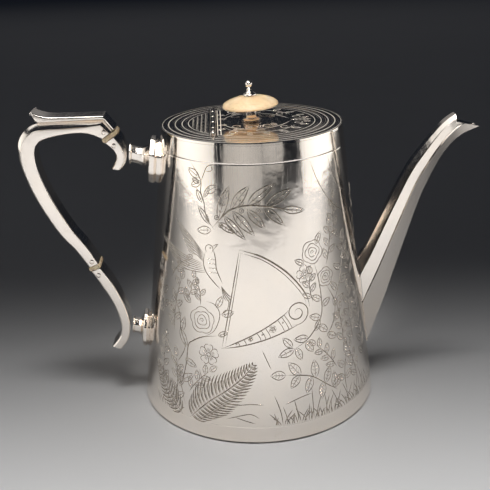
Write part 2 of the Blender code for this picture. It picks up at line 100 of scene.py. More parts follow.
def world(point):
    """A point in the pot's own frame, in millimetres, as metres in the shared frame."""
    x, y, z = point
    return ((x + AXIS) * MM, y * MM, z * MM)


# ---------------------------------------------------------------- materials

class Nodes:
    """Short calls for building one material's nodes."""

    def __init__(self, name):
        self.material = bpy.data.materials.new(name)
        self.material.use_nodes = True
        self.tree = self.material.node_tree
        self.where = self.add("ShaderNodeTexCoord", {}).outputs["Object"]

    def put(self, socket, value):
        if isinstance(value, bpy.types.NodeSocket):
            self.tree.links.new(value, socket)
        else:
            socket.default_value = value

    def add(self, kind, inputs, **settings):
        """A new node; each input is given a value or another node's output."""
        node = self.tree.nodes.new(kind)
        for key, value in settings.items():
            setattr(node, key, value)
        for key, value in inputs.items():
            self.put(node.inputs[key], value)
        return node

    def mapped(self, scale, turn=(0.0, 0.0, 0.0)):
        inputs = {"Vector": self.where, "Scale": scale, "Rotation": turn}
        return self.add("ShaderNodeMapping", inputs).outputs["Vector"]

    def noise(self, scale, detail, rough, distortion=0.0, vector=None):
        inputs = {"Vector": vector or self.where, "Scale": scale, "Detail": detail, "Roughness": rough,
                  "Distortion": distortion}
        return self.add("ShaderNodeTexNoise", inputs).outputs["Fac"]

    def span(self, value, low, high, to_low, to_high):
        inputs = {"Value": value, "From Min": low, "From Max": high, "To Min": to_low, "To Max": to_high}
        return self.add("ShaderNodeMapRange", inputs).outputs["Result"]

    def mix(self, factor, first, second):
        return self.add("ShaderNodeMix", {0: factor, 6: first, 7: second}, data_type="RGBA").outputs[2]

    def math(self, operation, first, second):
        return self.add("ShaderNodeMath", {0: first, 1: second}, operation=operation).outputs[0]

    def bump(self, height, distance, strength, normal=None):
        inputs = {"Height": height, "Distance": distance, "Strength": strength}
        if normal:
            inputs["Normal"] = normal
        return self.add("ShaderNodeBump", inputs).outputs["Normal"]

    def scratches(self, seed, fine, long):
        """Thin lines all running one way: noise stretched along a turned direction."""
        turn = (0.7 * seed, 1.3 * seed, 0.9 * seed)
        lines = self.noise(1.0, 2.0, 0.6, vector=self.mapped((fine, long, long), turn))
        return self.span(lines, 0.62, 0.70, 0.0, 1.0)

    def shade(self, inputs):
        """Set the surface's inputs and hand back the finished material."""
        shader = self.tree.nodes["Principled BSDF"]
        for key, value in inputs.items():
            self.put(shader.inputs[key], value)
        return self.material


WARM = (0.98, 0.90, 0.81, 1.0)
COOL = (0.92, 0.86, 0.80, 1.0)
TARNISH = (0.62, 0.52, 0.38, 1.0)

# Each set of wiping scratches: its turn, and how fine its lines are across and along
SCRATCHES = ((1, 2600.0, 40.0), (2, 3300.0, 55.0), (3, 2100.0, 35.0))


def silver(name, roughness, waver, tarnish):
    """Old silver plate: warm white, faintly uneven, with wiping scratches and light tarnish."""
    n = Nodes(name)
    clouds = n.noise(28.0, 4.0, 0.6)
    blotches = n.noise(95.0, 5.0, 0.7, 0.6)
    tone = n.mix(n.span(clouds, 0.35, 0.7, 0.0, 1.0), WARM, COOL)
    stain = n.math("MULTIPLY", n.span(blotches, 0.58, 0.80, 0.0, tarnish),
                   n.span(clouds, 0.4, 0.65, 0.3, 1.0))
    marks = n.scratches(*SCRATCHES[0])
    for settings in SCRATCHES[1:]:
        marks = n.math("MAXIMUM", marks, n.scratches(*settings))
    base = n.span(clouds, 0.3, 0.75, roughness * 0.75, roughness * 1.5)
    worn = n.math("ADD", base, n.math("MULTIPLY", marks, 0.10))
    slow = n.bump(n.noise(30.0, 1.0, 0.4), waver * 3, 0.5)
    ripple = n.bump(n.noise(150.0, 2.0, 0.5), waver, 0.5, slow)
    return n.shade({"Base Color": n.mix(stain, tone, TARNISH),
                    "Metallic": 1.0,
                    "Roughness": n.math("ADD", worn, n.math("MULTIPLY", stain, 0.25)),
                    "Normal": n.bump(marks, -0.000012, 0.5, ripple)})


def cut_metal(name, first, second, smooth, rough, metallic):
    """The inside of an engraved line, in two tones of fine grain."""
    n = Nodes(name)
    grain = n.noise(420.0, 3.0, 0.6)
    return n.shade({"Base Color": n.mix(n.span(grain, 0.35, 0.7, 0.0, 1.0), first, second),
                    "Metallic": metallic,
                    "Roughness": n.span(grain, 0.3, 0.7, smooth, rough),
                    "Normal": n.bump(grain, 0.00002, 0.4)})


def lining_silver(name):
    """Unpolished silver inside the pot and under the base, browned by coffee."""
    n = Nodes(name)
    stain = n.noise(22.0, 5.0, 0.65, 0.4)
    light, dark = (0.66, 0.58, 0.46, 1), (0.38, 0.28, 0.18, 1)
    return n.shade({"Base Color": n.mix(n.span(stain, 0.35, 0.7, 0.0, 1.0), light, dark),
                    "Metallic": 1.0,
                    "Roughness": n.span(stain, 0.3, 0.7, 0.28, 0.5),
                    "Normal": n.bump(n.noise(260.0, 4.0, 0.6), 0.00004, 0.5)})


def bone(name, light, dark, along):
    """Waxed bone: long fine grain with darker flecks."""
    n = Nodes(name)
    grain = n.noise(1.0, 4.0, 0.6, vector=n.mapped([60.0 if axis == along else 900.0 for axis in "xyz"]))
    clouds = n.noise(75.0, 4.0, 0.6, 0.8)
    tone = n.mix(n.span(clouds, 0.32, 0.68, 0.0, 1.0), light, dark)
    flecks = n.span(grain, 0.56, 0.74, 0.0, 0.55)
    darker = tuple(c * 0.62 for c in dark[:3]) + (1.0,)
    return n.shade({"Base Color": n.mix(flecks, tone, darker),
                    "Roughness": n.span(grain, 0.3, 0.75, 0.30, 0.48),
                    "Subsurface Weight": 0.12,
                    "Subsurface Radius": (0.003, 0.0018, 0.001),
                    "Coat Weight": 0.25,
                    "Coat Roughness": 0.18,
                    "Normal": n.bump(clouds, 0.0002, 0.3, n.bump(grain, 0.00005, 0.5))})


def plain_floor():
    n = Nodes("pale_floor")
    tone = n.mix(n.noise(6.0, 3.0, 0.5), (0.53, 0.53, 0.535, 1), (0.57, 0.57, 0.575, 1))
    return n.shade({"Base Color": tone, "Roughness": 0.55})


BODY_SILVER = silver("silver_body", 0.09, 0.00014, 0.30)
PLATE_SILVER = silver("silver_top", 0.06, 0.00004, 0.15)
SPOUT_SILVER = silver("silver_spout", 0.12, 0.00008, 0.30)
HANDLE_SILVER = silver("silver_handle", 0.13, 0.00008, 0.40)
CAST_SILVER = silver("silver_cast", 0.14, 0.00010, 0.60)
ENGRAVED_EDGE = silver("silver_engraved_edge", 0.12, 0.00002, 0.2)
# Dark cuts hold tarnish; the pale, matt ones show against the dark mirror of the lid
CUT_SILVER = cut_metal("silver_engraved", (0.13, 0.105, 0.08, 1), (0.40, 0.34, 0.27, 1), 0.22, 0.42, 1.0)
FROSTED = cut_metal("silver_frosted", (0.86, 0.79, 0.69, 1), (0.66, 0.59, 0.50, 1), 0.40, 0.60, 0.25)
LINING = lining_silver("silver_lining")
DISC_BONE = bone("bone_finial", (0.88, 0.70, 0.47, 1), (0.72, 0.48, 0.25, 1), "x")
WASHER_BONE = bone("bone_washer", (0.95, 0.80, 0.56, 1), (0.82, 0.60, 0.34, 1), "z")


# ---------------------------------------------------------------- making meshes

def new_object(name, mesh, body, materials, replaced=(), sharp=32.0):
    """A piece that rides on a body; only edges that turn more than `sharp` degrees stay crisp."""
    piece = bpy.data.objects.new(name, mesh)
    bpy.context.scene.collection.objects.link(piece)
    for material in materials:
        mesh.materials.append(material)
    mesh.shade_smooth()
    mesh.set_sharp_from_angle(angle=math.radians(sharp))
    normals = piece.modifiers.new("normals", "WEIGHTED_NORMAL")
    normals.keep_sharp = True
    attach(piece, body)
    if replaced:
        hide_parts(*replaced)
    return piece


@contextlib.contextmanager
def editing(mesh):
    """The mesh opened for editing; the changes are written back to it."""
    bm = bmesh.new()
    bm.from_mesh(mesh)
    yield bm
    bm.to_mesh(mesh)
    bm.free()


def mesh_of(name, points, faces, place=world):
    mesh = bpy.data.meshes.new(name)
    mesh.from_pydata([place(p) for p in points], [], faces)
    with editing(mesh) as bm:
        bmesh.ops.recalc_face_normals(bm, faces=bm.faces)
    return mesh


def turned(name, profile, steps, place=world, closed=True):
    """A profile of (radius, height) turned about the upright axis."""
    points, faces, rings = [], [], []
    for radius, z in profile:
        count = 1 if radius < 1e-6 else steps
        rings.append(range(len(points), len(points) + count))
        for i in range(count):
            angle = 2 * math.pi * i / steps
            points.append((radius * math.cos(angle), radius * math.sin(angle), z))
    pairs = list(zip(rings, rings[1:]))
    if closed:
        pairs.append((rings[-1], rings[0]))
    for a, b in pairs:
        if len(a) == len(b) == 1:
            continue
        for i in range(steps):
            j = (i + 1) % steps
            if len(a) == 1:
                faces.append((a[0], b[j], b[i]))
            elif len(b) == 1:
                faces.append((a[i], a[j], b[0]))
            else:
                faces.append((a[i], a[j], b[j], b[i]))
    return mesh_of(name, points, faces, place)


def rounded(profile, radius, closed=True, steps=3):
    """The profile with each corner turned into a short curve."""
    out = []
    count = len(profile)
    for i in range(count):
        here = Vector(profile[i])
        if not closed and i in (0, count - 1):
            out.append(tuple(here))
            continue
        before = Vector(profile[i - 1]) - here
        after = Vector(profile[(i + 1) % count]) - here
        reach = min(radius, before.length * 0.45, after.length * 0.45)
        a = here + before.normalized() * reach
        b = here + after.normalized() * reach
        for k in range(steps + 1):
            t = k / steps
            out.append(tuple(a * (1 - t) ** 2 + here * 2 * t * (1 - t) + b * t * t))
    return out


def curve_through(points, per_span):
    """A smooth line through the points (Catmull-Rom), ends included."""
    ends = [points[0]] + list(points) + [points[-1]]
    line = []
    for i in range(1, len(ends) - 2):
        a, b, c, d = (Vector(p) for p in ends[i - 1:i + 3])
        for step in range(per_span):
            t = step / per_span
            line.append(0.5 * ((2 * b) + (c - a) * t + (2 * a - 5 * b + 4 * c - d) * t * t
                               + (3 * b - a - 3 * c + d) * t ** 3))
    line.append(Vector(points[-1]))
    return line


def smooth(points, per_span):
    return [tuple(p) for p in curve_through(points, per_span)]


def spiral(count, step, start, radius, growth):
    """Points (x, y) whose angle, in radians, and radius change by equal steps."""
    points = []
    for k in range(count):
        a, r = start + step * k, radius + growth * k
        points.append((r * math.cos(a), r * math.sin(a)))
    return points


def circle(radius, degrees):
    return [(radius * math.cos(a), radius * math.sin(a)) for a in map(math.radians, degrees)]


def loft(name, sections):
    """A skin over rings of points that all have the same count, closed at both ends."""
    count = len(sections[0])
    points = [p for section in sections for p in section]
    faces = []
    for k in range(len(sections) - 1):
        for i in range(count):
            j = (i + 1) % count
            a, b = k * count, (k + 1) * count
            faces.append((a + i, a + j, b + j, b + i))
    faces.append(tuple(range(count)))
    faces.append(tuple(range((len(sections) - 1) * count, len(sections) * count)))
    return mesh_of(name, points, faces)


def settled(shape, *others):
    """The mesh of an object once its modifiers have run; the objects themselves are removed."""
    items = (shape,) + others
    for item in items:
        bpy.context.scene.collection.objects.link(item)
    bpy.context.view_layer.update()
    evaluated = shape.evaluated_get(bpy.context.evaluated_depsgraph_get())
    mesh = bpy.data.meshes.new_from_object(evaluated)
    for item in items:
        bpy.data.objects.remove(item)
    return mesh


def boolean(mesh, cutter):
    """The mesh with another mesh cut from it."""
    target = bpy.data.objects.new("boolean_target", mesh)
    tool = bpy.data.objects.new("boolean_tool", cutter)
    modifier = target.modifiers.new("cut", "BOOLEAN")
    modifier.operation = "DIFFERENCE"
    modifier.object = tool
    modifier.solver = "EXACT"
    result = settled(target, tool)
    result.materials.clear()
    return result


def rod_mesh(name, start, end, radius, sides=32):
    """A round bar between two points, used as a cutter."""
    a, b = Vector(world(start)), Vector(world(end))
    turn = (b - a).to_track_quat("Z", "Y").to_matrix().to_4x4()
    mesh = bpy.data.meshes.new(name)
    with editing(mesh) as bm:
        bmesh.ops.create_cone(bm, cap_ends=True, segments=sides, radius1=radius * MM,
                              radius2=radius * MM, depth=(b - a).length)
        bmesh.ops.transform(bm, matrix=Matrix.Translation((a + b) / 2) @ turn, verts=bm.verts)
    return mesh


def lying(x0, z0):
    """How to place a turned shape whose axis runs across the pot at (x0, z0)."""
    def place(point):
        x, y, z = point
        return world((x0 + x, z, z0 + y))

    return place


# ---------------------------------------------------------------- body

WALL = 1.2
RING_HEIGHTS = (10.6, 167.8)
RING_GROOVE = 0.32
RING_DEPTH = 0.10
RING_FLOOR = 0.12
LAND = 0.5
BODY_STEPS = 240
HOLE_RADIUS = 1.6
HOLE_REACH = 5


def body_profile():
    """The wall in section: straight outside but for two ring grooves with a flat land beside each."""
    outer = [(body_radius(SHELL_TOP), SHELL_TOP)]
    for ring in reversed(RING_HEIGHTS):
        for lift, depth in ((RING_GROOVE + LAND, 0.0), (RING_GROOVE, 0.0), (RING_FLOOR, RING_DEPTH),
                            (-RING_FLOOR, RING_DEPTH), (-RING_GROOVE, 0.0), (-RING_GROOVE - LAND, 0.0)):
            outer.append((body_radius(ring + lift) - depth, ring + lift))
    outer.append((body_radius(SKIRT + 1.6), SKIRT + 1.6))
    outer.append((SKIRT_RADIUS - 0.05, SKIRT + 0.5))
    outer.append((SKIRT_RADIUS - 0.5, SKIRT))
    inner = [(SKIRT_RADIUS - WALL, SKIRT), (body_radius(SHELL_TOP) - WALL, SHELL_TOP)]
    return outer + inner


def make_body():
    mesh = turned("body", body_profile(), BODY_STEPS)
    for z, y in pouring_holes():
        inside, outside = (body_radius(z) - HOLE_REACH, y, z), (body_radius(z) + HOLE_REACH, y, z)
        mesh = boolean(mesh, rod_mesh("hole", inside, outside, HOLE_RADIUS, 24))
    new_object("body", mesh, "pot", (BODY_SILVER, LINING), ("body_shell",))
    for face in mesh.polygons:
        centre = face.center / MM
        if face.normal.x * (centre.x - AXIS) + face.normal.y * centre.y < 0:
            face.material_index = 1


def pouring_holes():
    """Heights and sideways places of the holes behind the spout, in staggered rows."""
    rows, pitch, lowest = 5, 5.5, 50.0
    for row in range(rows):
        count = 2 + row % 2
        for k in range(count):
            yield lowest + row * pitch, (k - (count - 1) / 2) * pitch


# ---------------------------------------------------------------- lid and top plate

PLATE_RINGS = (50.4, 47.4)
LID_RINGS = (43.6, 40.6)
SINK = 0.2
LID_GAP = 0.2
SLOT_GAP = 0.25
OVER, UNDER = TOP + 3, TOP - 5


def ringed_profile(radius, low, high, rings, edge_round, outer_low):
    """Half section of a flat disc with fine grooves turned into its top."""
    profile = [(0.0, high)]
    for ring in sorted(rings):
        for step, depth in ((-0.22, 0.0), (-0.05, 0.07), (0.05, 0.07), (0.22, 0.0)):
            profile.append((ring + step, high - depth))
    profile += [(radius - edge_round, high), (radius - 0.3 * edge_round, high - 0.3 * edge_round),
                (radius, high - edge_round), (outer_low, low), (0.0, low)]
    return profile


def cut_straight(mesh, edge):
    """The part of the mesh to the right of x = edge, with the cut closed."""
    with editing(mesh) as bm:
        geometry = bm.verts[:] + bm.edges[:] + bm.faces[:]
        result = bmesh.ops.bisect_plane(bm, geom=geometry, dist=1e-7, plane_co=world((edge, 0, 0)),
                                        plane_no=(1, 0, 0), clear_inner=True)
        edges = [e for e in result["geom_cut"] if isinstance(e, bmesh.types.BMEdge)]
        bmesh.ops.edgenet_fill(bm, edges=edges)
        bmesh.ops.recalc_face_normals(bm, faces=bm.faces)
    return mesh


def block_mesh(name, low, high):
    points = list(itertools.product(*zip(low, high)))
    faces = [(0, 1, 3, 2), (4, 6, 7, 5), (0, 4, 5, 1), (2, 3, 7, 6), (0, 2, 6, 4), (1, 5, 7, 3)]
    return mesh_of(name, points, faces)


def make_top_plate():
    rings = PLATE_RINGS + LID_RINGS
    low = PLATE_DOWN - SINK
    profile = ringed_profile(body_radius(TOP), low, TOP, rings, 0.35, body_radius(low))
    plate = turned("top_plate_disc", profile, BODY_STEPS, closed=False)
    wide = LID_RADIUS + LID_GAP
    opening = turned("opening", [(0, OVER), (wide, OVER), (wide, UNDER), (0, UNDER)], BODY_STEPS,
                     closed=False)
    plate = boolean(plate, cut_straight(opening, LID_EDGE - LID_GAP))
    half = -CAP_LOW.y + SLOT_GAP
    slot = block_mesh("slot", (HINGE_X - BARREL - SLOT_GAP, -half, UNDER), (LID_EDGE + 1, half, OVER))
    plate = boolean(plate, slot)
    new_object("top_rim_plate", plate, "pot", (PLATE_SILVER,), ("top_plate",))
    profile = ringed_profile(LID_RADIUS, PLATE_DOWN, TOP, LID_RINGS, 0.18, LID_RADIUS)
    lid = cut_straight(turned("lid_disc", profile, BODY_STEPS, closed=False), LID_EDGE)
    new_object("lid_disc", lid, "lid", (PLATE_SILVER,), ("lid_plate",))


def make_hinge():
    """Barrel knuckles with softened ends, and the rounded caps that close the barrel."""
    place, bore = lying(HINGE_X, HINGE_Z), 0.95
    for node, body in (("hinge_knuckle_front", "pot"), ("hinge_knuckle_middle", "pot"),
                       ("hinge_knuckle_back", "pot"), ("lid_knuckle_front", "lid"),
                       ("lid_knuckle_back", "lid")):
        low, high = box_mm(node)
        profile = [(BARREL, high.y), (BARREL, low.y), (bore, low.y), (bore, high.y)]
        mesh = turned(node, rounded(profile, 0.25), 40, place)
        new_object(node + "_tube", mesh, body, (CAST_SILVER,), (node,))
    for node, side in (("pin_cap_front", -1), ("pin_cap_back", 1)):
        low, high = box_mm(node)
        near, far = (high.y, low.y) if side < 0 else (low.y, high.y)
        profile = [(BARREL * 0.98, near), (BARREL, near + side * 0.35),
                   (BARREL * 0.86, far - side * 0.1), (BARREL * 0.62, far),
                   (BARREL * 0.44, far - side * 0.25), (0.7, near + side * 0.2), (0.7, near)]
        mesh = turned(node, rounded(profile, 0.2), 40, place)
        new_object(node + "_bead", mesh, "pot", (CAST_SILVER,), (node,))


# ---------------------------------------------------------------- finial

FINIAL_LEAN = math.radians(3.0)

# Half sections as (radius, height above the lid), from the finial's own axis
PILLAR = [(0, 8.3), (3.3, 8.3), (3.25, 7.4), (3.45, 5.6), (3.9, 4.0), (4.6, 2.95), (4.75, 2.6),
          (4.35, 2.3), (4.9, 2.05), (6.05, 1.45), (6.25, 1.0), (6.1, 0.35), (0, 0.35)]
DISC_RADIUS, DISC_HEIGHT, DISC_RISE = 17.0, 9.9, 5.7
DISC_UNDER = [(16.8, 9.45), (16.2, 9.15), (12.0, 8.75), (6.0, 8.5), (0, 8.45)]
BEAD_RADIUS, BEAD_HEIGHT, BEAD_SHARE = 2.2, 22.6, 0.84
CAP_UNDER = [(1.2, 20.35), (1.75, 19.95), (1.85, 19.6), (1.45, 19.2), (1.7, 18.6), (2.4, 17.8),
             (3.2, 17.25), (4.0, 16.9), (4.2, 16.5), (4.15, 15.95), (0, 15.95)]


def leaning(point):
    """From the finial's own frame, standing on the lid's top, to the shared frame."""
    x, y, z = point
    c, s = math.cos(FINIAL_LEAN), math.sin(FINIAL_LEAN)
    return world((x * c - z * s, y, TOP + x * s + z * c))


def make_finial():
    mesh = turned("pillar", rounded(PILLAR, 0.22, closed=False, steps=2), 8, leaning, closed=False)
    piece = new_object("finial_pillar_cast", mesh, "lid", (CAST_SILVER,), ("finial_pillar",), sharp=28)
    bevel = piece.modifiers.new("edges", "BEVEL")
    bevel.width = 0.22 * MM
    bevel.segments = 2
    bevel.limit_method = "ANGLE"
    bevel.angle_limit = math.radians(35)
    disc = []
    for i in range(15):
        angle = math.pi / 2 * i / 14
        disc.append((DISC_RADIUS * math.sin(angle), DISC_HEIGHT + DISC_RISE * math.cos(angle) ** 1.15))
    mesh = turned("disc", disc + DISC_UNDER, 128, leaning, closed=False)
    new_object("finial_disc_bone", mesh, "lid", (DISC_BONE,), ("finial_disc",), sharp=60)
    bead = []
    for i in range(14):
        angle = math.pi * BEAD_SHARE * i / 13
        bead.append((BEAD_RADIUS * math.sin(angle), BEAD_HEIGHT + BEAD_RADIUS * math.cos(angle)))
    mesh = turned("cap", bead + CAP_UNDER, 64, leaning, closed=False)
    new_object("finial_cap_turned", mesh, "lid", (CAST_SILVER,), ("finial_cap",), sharp=50)


# ---------------------------------------------------------------- spout

# Middle lines of the spout's top and keel as (x, z), from inside the body to past the mouth
SPOUT_TOP_LINE = [(56.0, 66.0), (66.0, 87.0), (71.6, 97.0), (84.2, 124.2), (95.5, 146.7),
                  (103.1, 157.9), (111.5, 168.5), (118.0, 175.6), (125.0, 180.2), (136.0, 184.0)]
SPOUT_BOTTOM_LINE = [(67.5, 10.0), (77.6, 40.0), (84.9, 62.2), (92.5, 87.9), (103.4, 123.4),
                     (109.0, 137.9), (114.9, 150.4), (121.3, 160.2), (129.3, 167.4), (142.0, 172.6)]
SPOUT_WALL = 1.45
SPOUT_HALF, SPOUT_FLARE = 7.0, 4.5
MOUTH_SHARE, MOUTH_NARROWS = 0.2, 2.6
SPOUT_RIDGE = 2.9
KEEL_FOOT, KEEL_GAIN = 1.5, 1.4
SHOULDER_SHARE = 0.13
CHINE_SHARE, CHINE_GAIN = 0.42, 0.08
LEDGE, LEDGE_FALL = 1.30, 0.70
STEP, STEP_FALL = 0.60, 0.42
LIP = [(124.2, 175.6), (128.5, 174.5), (134.0, 173.2)]


def spout_half_width(t):
    """Half the width at a share t of the length: it narrows from the body, and again at the mouth."""
    mouth = max(0.0, t - 1 + MOUTH_SHARE) / MOUTH_SHARE
    return SPOUT_HALF + SPOUT_FLARE * (1 - t) ** 1.6 - MOUTH_NARROWS * mouth


def spout_ring(t, depth, shrink):
    """One side of the spout's outer section, top to keel, as (distance from the top, y).

    Two ledges that face up run along the outside: a fine one under the shoulder and a
    wider one where the side meets the lower face. Shrunk, it is the plain channel inside.
    """
    side = spout_half_width(t)
    swell = math.sin(math.pi * min(1.0, 0.12 + 0.86 * t)) ** 0.6
    ledge = LEDGE * swell
    shoulder, chine = SHOULDER_SHARE * depth, (CHINE_SHARE + CHINE_GAIN * t) * depth
    keel = KEEL_FOOT + KEEL_GAIN * t
    if shrink:
        return [(shrink, SPOUT_RIDGE - 0.4 * shrink), (shoulder, side - shrink), (chine, side - shrink),
                (depth - shrink, keel - 0.4 * shrink)]
    return [(0.0, SPOUT_RIDGE), (shoulder, side - ledge - STEP), (shoulder + STEP_FALL, side - ledge),
            (chine, side - ledge), (chine + LEDGE_FALL, side), (depth, keel)]


def spout_sections(shrink=0.0, per_span=8):
    tops = curve_through(SPOUT_TOP_LINE, per_span)
    bottoms = curve_through(SPOUT_BOTTOM_LINE, per_span)
    last = len(tops) - 1
    sections = []
    for i, (upper, lower) in enumerate(zip(tops, bottoms)):
        depth = (lower - upper).length
        half = spout_ring(i / last, depth, shrink)
        corners = half + [(along, -y) for along, y in reversed(half)]
        section = []
        for along, y in rounded(corners, 0.14, steps=2):
            place = upper.lerp(lower, along / depth)
            section.append((place.x, y, place.y))
        sections.append(section)
    return sections


def stretched(sections):
    """The same sections with the first and the last moved on a little past the ends."""
    first = [Vector(a) * 1.2 - Vector(b) * 0.2 for a, b in zip(sections[0], sections[1])]
    last = [Vector(a) * 1.5 - Vector(b) * 0.5 for a, b in zip(sections[-1], sections[-2])]
    return [first] + sections[1:-1] + [last]


def prism_mesh(name, outline, half):
    """An outline of (x, z) points made solid from y = -half to y = half."""
    return loft(name, [[(x, -half, z) for x, z in outline], [(x, half, z) for x, z in outline]])


def make_spout():
    mesh = loft("spout", spout_sections())
    mesh = boolean(mesh, loft("channel", stretched(spout_sections(SPOUT_WALL))))
    cone = [(0, TOP), (body_radius(TOP) + 0.02, TOP), (body_radius(-5) + 0.02, -5), (0, -5)]
    mesh = boolean(mesh, turned("trim", cone, 360, closed=False))
    reach = box_mm("spout_shell")[1].x - AXIS
    past, above, below = 170.0, 200.0, 150.0
    mouth = [(LIP[0][0], above)] + smooth(LIP + [(reach - 0.4, 171.95)], 5)
    mouth += [(reach, 171.5), (reach, below), (past, below), (past, above)]
    mesh = boolean(mesh, prism_mesh("mouth", mouth, 25.0))
    new_object("spout_faceted", mesh, "pot", (SPOUT_SILVER, LINING), ("spout_shell",), sharp=24)


def make_spout_seam():
    """The thin line of solder where the spout meets the body."""
    sections = spout_sections(per_span=16)
    count = len(sections[0])
    line = []
    for i in range(count):
        for k in range(len(sections) - 1):
            x, y, z = sections[k][i]
            if math.hypot(x, y) > body_radius(z):
                line.append(Vector((x, y, z)))
                break
    new_object("spout_solder", ring_wire("spout_solder", line, 0.55), "pot", (CAST_SILVER,))


def ring_wire(name, line, radius, sides=10):
    """A round wire along the points, closed on itself."""
    points, faces = [], []
    count = len(line)
    for k, point in enumerate(line):
        ahead = (line[(k + 1) % count] - line[k - 1]).normalized()
        side = ahead.cross(Vector((point.x, point.y, 0)).normalized()).normalized()
        up = side.cross(ahead)
        points += [point + side * x + up * y for x, y in circle(radius, range(0, 360, 360 // sides))]
        a, b = k * sides, (k + 1) % count * sides
        for i in range(sides):
            j = (i + 1) % sides
            faces.append((a + i, a + j, b + j, b + i))
    return mesh_of(name, points, faces)


# ---------------------------------------------------------------- handle

# Side lines of the handle's bars and plate as (x, z); the bars are all 2 x HALF_DEPTH wide in y
HALF_DEPTH = 7.5
GRIP_SHOULDER = (-84.0, 178.1)
GRIP_OUTER = [(-88.9, 184.8), (-110.0, 184.6), (-127.5, 184.2), (-135.5, 180.6), (-140.2, 174.5),
              (-141.4, 167.0), (-140.2, 155.9), (-133.7, 136.5), (-122.3, 114.6),
              (-113.6, 103.4), (-105.9, 91.1)]
GRIP_INNER = [(-90.6, 173.7), (-96.5, 176.4), (-102.5, 177.6), (-112.0, 177.2), (-122.2, 175.3),
              (-128.6, 172.6), (-131.4, 167.0), (-130.4, 154.6), (-124.2, 136.7), (-114.4, 117.2),
              (-106.2, 105.0), (-99.8, 93.3)]
PLATE_TOP = [(-131.6, 191.2), (-126.5, 189.2), (-121.0, 188.0), (-110.6, 187.7), (-88.4, 187.6)]
PLATE_END = [(-82.2, 179.3), (-83.6, 178.5)]
PLATE_UNDER = [(-88.6, 185.2), (-110.0, 185.0), (-127.5, 184.6), (-129.8, 186.6)]
UPPER_STUB_OUTER = [(-80.4, 175.9), (-77.8, 171.5), (-76.3, 167.0), (-76.6, 162.0), (-77.9, 157.5),
                    (-81.0, 153.9)]
UPPER_STUB_INNER = [(-88.8, 170.8), (-85.0, 167.4), (-82.8, 163.4), (-83.4, 159.6), (-86.0, 154.9)]
LOWER_STUB_OUTER = [(-104.7, 87.9), (-98.6, 77.2), (-92.9, 65.7), (-89.6, 54.8), (-88.9, 46.4),
                    (-90.6, 40.5), (-95.6, 34.2)]
LOWER_STUB_INNER = [(-98.7, 90.1), (-92.4, 79.7), (-86.6, 66.0), (-83.6, 54.5), (-83.4, 46.2),
                    (-85.6, 38.2), (-90.2, 32.0)]
# Node, ends of its middle line, width of the sloping outer face and how far that face falls
INSULATORS = (
    ("upper_insulator", (-90.1, 171.9), (-81.0, 177.6), 2.6, 2.72),
    ("lower_insulator", (-105.9, 89.3), (-98.7, 91.9), 0.8, 0.96),
)
INSULATOR_THICKNESS = 2.7
PIN_RADIUS = 1.35
PIN_GAP = 0.16
INSULATOR_PROUD = 0.6

# How wide the sloping outer face of each bar is: shares of its length, and the width at each
GRIP_BAND = ((0.0, 0.04, 0.12, 0.30, 0.42, 0.55, 0.8, 1.0), (2.4, 3.0, 4.4, 4.3, 2.9, 1.9, 1.1, 0.8))
UPPER_STUB_BAND = ((0.0, 0.35, 0.7, 1.0), (3.4, 3.0, 1.6, 1.0))
LOWER_STUB_BAND = ((0.0, 1.0), (0.8, 0.8))


def evenly(line, count):
    """Points at equal steps of length along the line."""
    lengths = [0.0]
    for a, b in zip(line, line[1:]):
        lengths.append(lengths[-1] + (b - a).length)
    points, k = [], 0
    for i in range(count):
        target = lengths[-1] * i / (count - 1)
        while k < len(line) - 2 and lengths[k + 1] < target:
            k += 1
        t = (target - lengths[k]) / max(1e-9, lengths[k + 1] - lengths[k])
        points.append(line[k].lerp(line[k + 1], min(1.0, t)))
    return points


def bar_section(width, band):
    """Section of a handle bar as (distance from its inner edge, y): a flat front and back,
    a softened inner edge and a sloping, slightly hollow face on the outer side."""
    half, drop = HALF_DEPTH, 0.62 * band
    side = [(0.0, half - 1.0), (0.12, half - 0.5), (0.5, half - 0.12), (1.0, half),
            (width - band - 0.3, half), (width - band, half - 0.10),
            (width - band + 0.22, half - 0.40)]
    for k in range(1, 5):
        t = k / 4
        side.append((width - band + 0.22 + (band - 0.62) * t, half - 0.40 - (drop - 0.4) * t ** 1.25))
    side += [(width - 0.12, half - drop - 0.25), (width, half - drop - 0.7)]
    return side + [(a, -y) for a, y in reversed(side)]


def bar(name, outer, inner, band):
    """A handle bar between two side lines with the same number of points."""
    sections = []
    last = len(outer) - 1
    for k, (out, low) in enumerate(zip(outer, inner)):
        across = out - low
        width = across.length
        section = []
        for along, y in bar_section(width, np.interp(k / last, *band)):
            place = low + across * (along / width)
            section.append((place.x, y, place.y))
        sections.append(section)
    return loft(name, sections)


def flat_bar(name, outline, half, edge, segments):
    """A flat outline of (x, z) points, thick in y, with rounded long edges."""
    curve = bpy.data.curves.new(name, "CURVE")
    curve.dimensions = "2D"
    curve.fill_mode = "BOTH"
    spline = curve.splines.new("POLY")
    spline.points.add(len(outline) - 1)
    for point, (x, z) in zip(spline.points, outline):
        point.co = ((x + AXIS) * MM, z * MM, 0.0, 1.0)
    spline.use_cyclic_u = True
    curve.extrude = (half - edge) * MM
    curve.bevel_depth = edge * MM
    curve.bevel_resolution = segments
    curve.offset = -edge * MM
    mesh = settled(bpy.data.objects.new(name, curve))
    with editing(mesh) as bm:
        bmesh.ops.remove_doubles(bm, verts=bm.verts, dist=1e-6)
        bmesh.ops.transform(bm, matrix=Matrix.Rotation(math.pi / 2, 4, "X"), verts=bm.verts)
        bmesh.ops.recalc_face_normals(bm, faces=bm.faces)
    return mesh


def pin_places():
    """The middle of each handle pin, by its node."""
    for end in ("upper", "lower"):
        for side in ("above", "below"):
            node = f"{end}_insulator_pin_{side}"
            low, high = box_mm(node)
            middle = (low + high) / 2
            yield node, Vector((middle.x - AXIS, 0, middle.z))


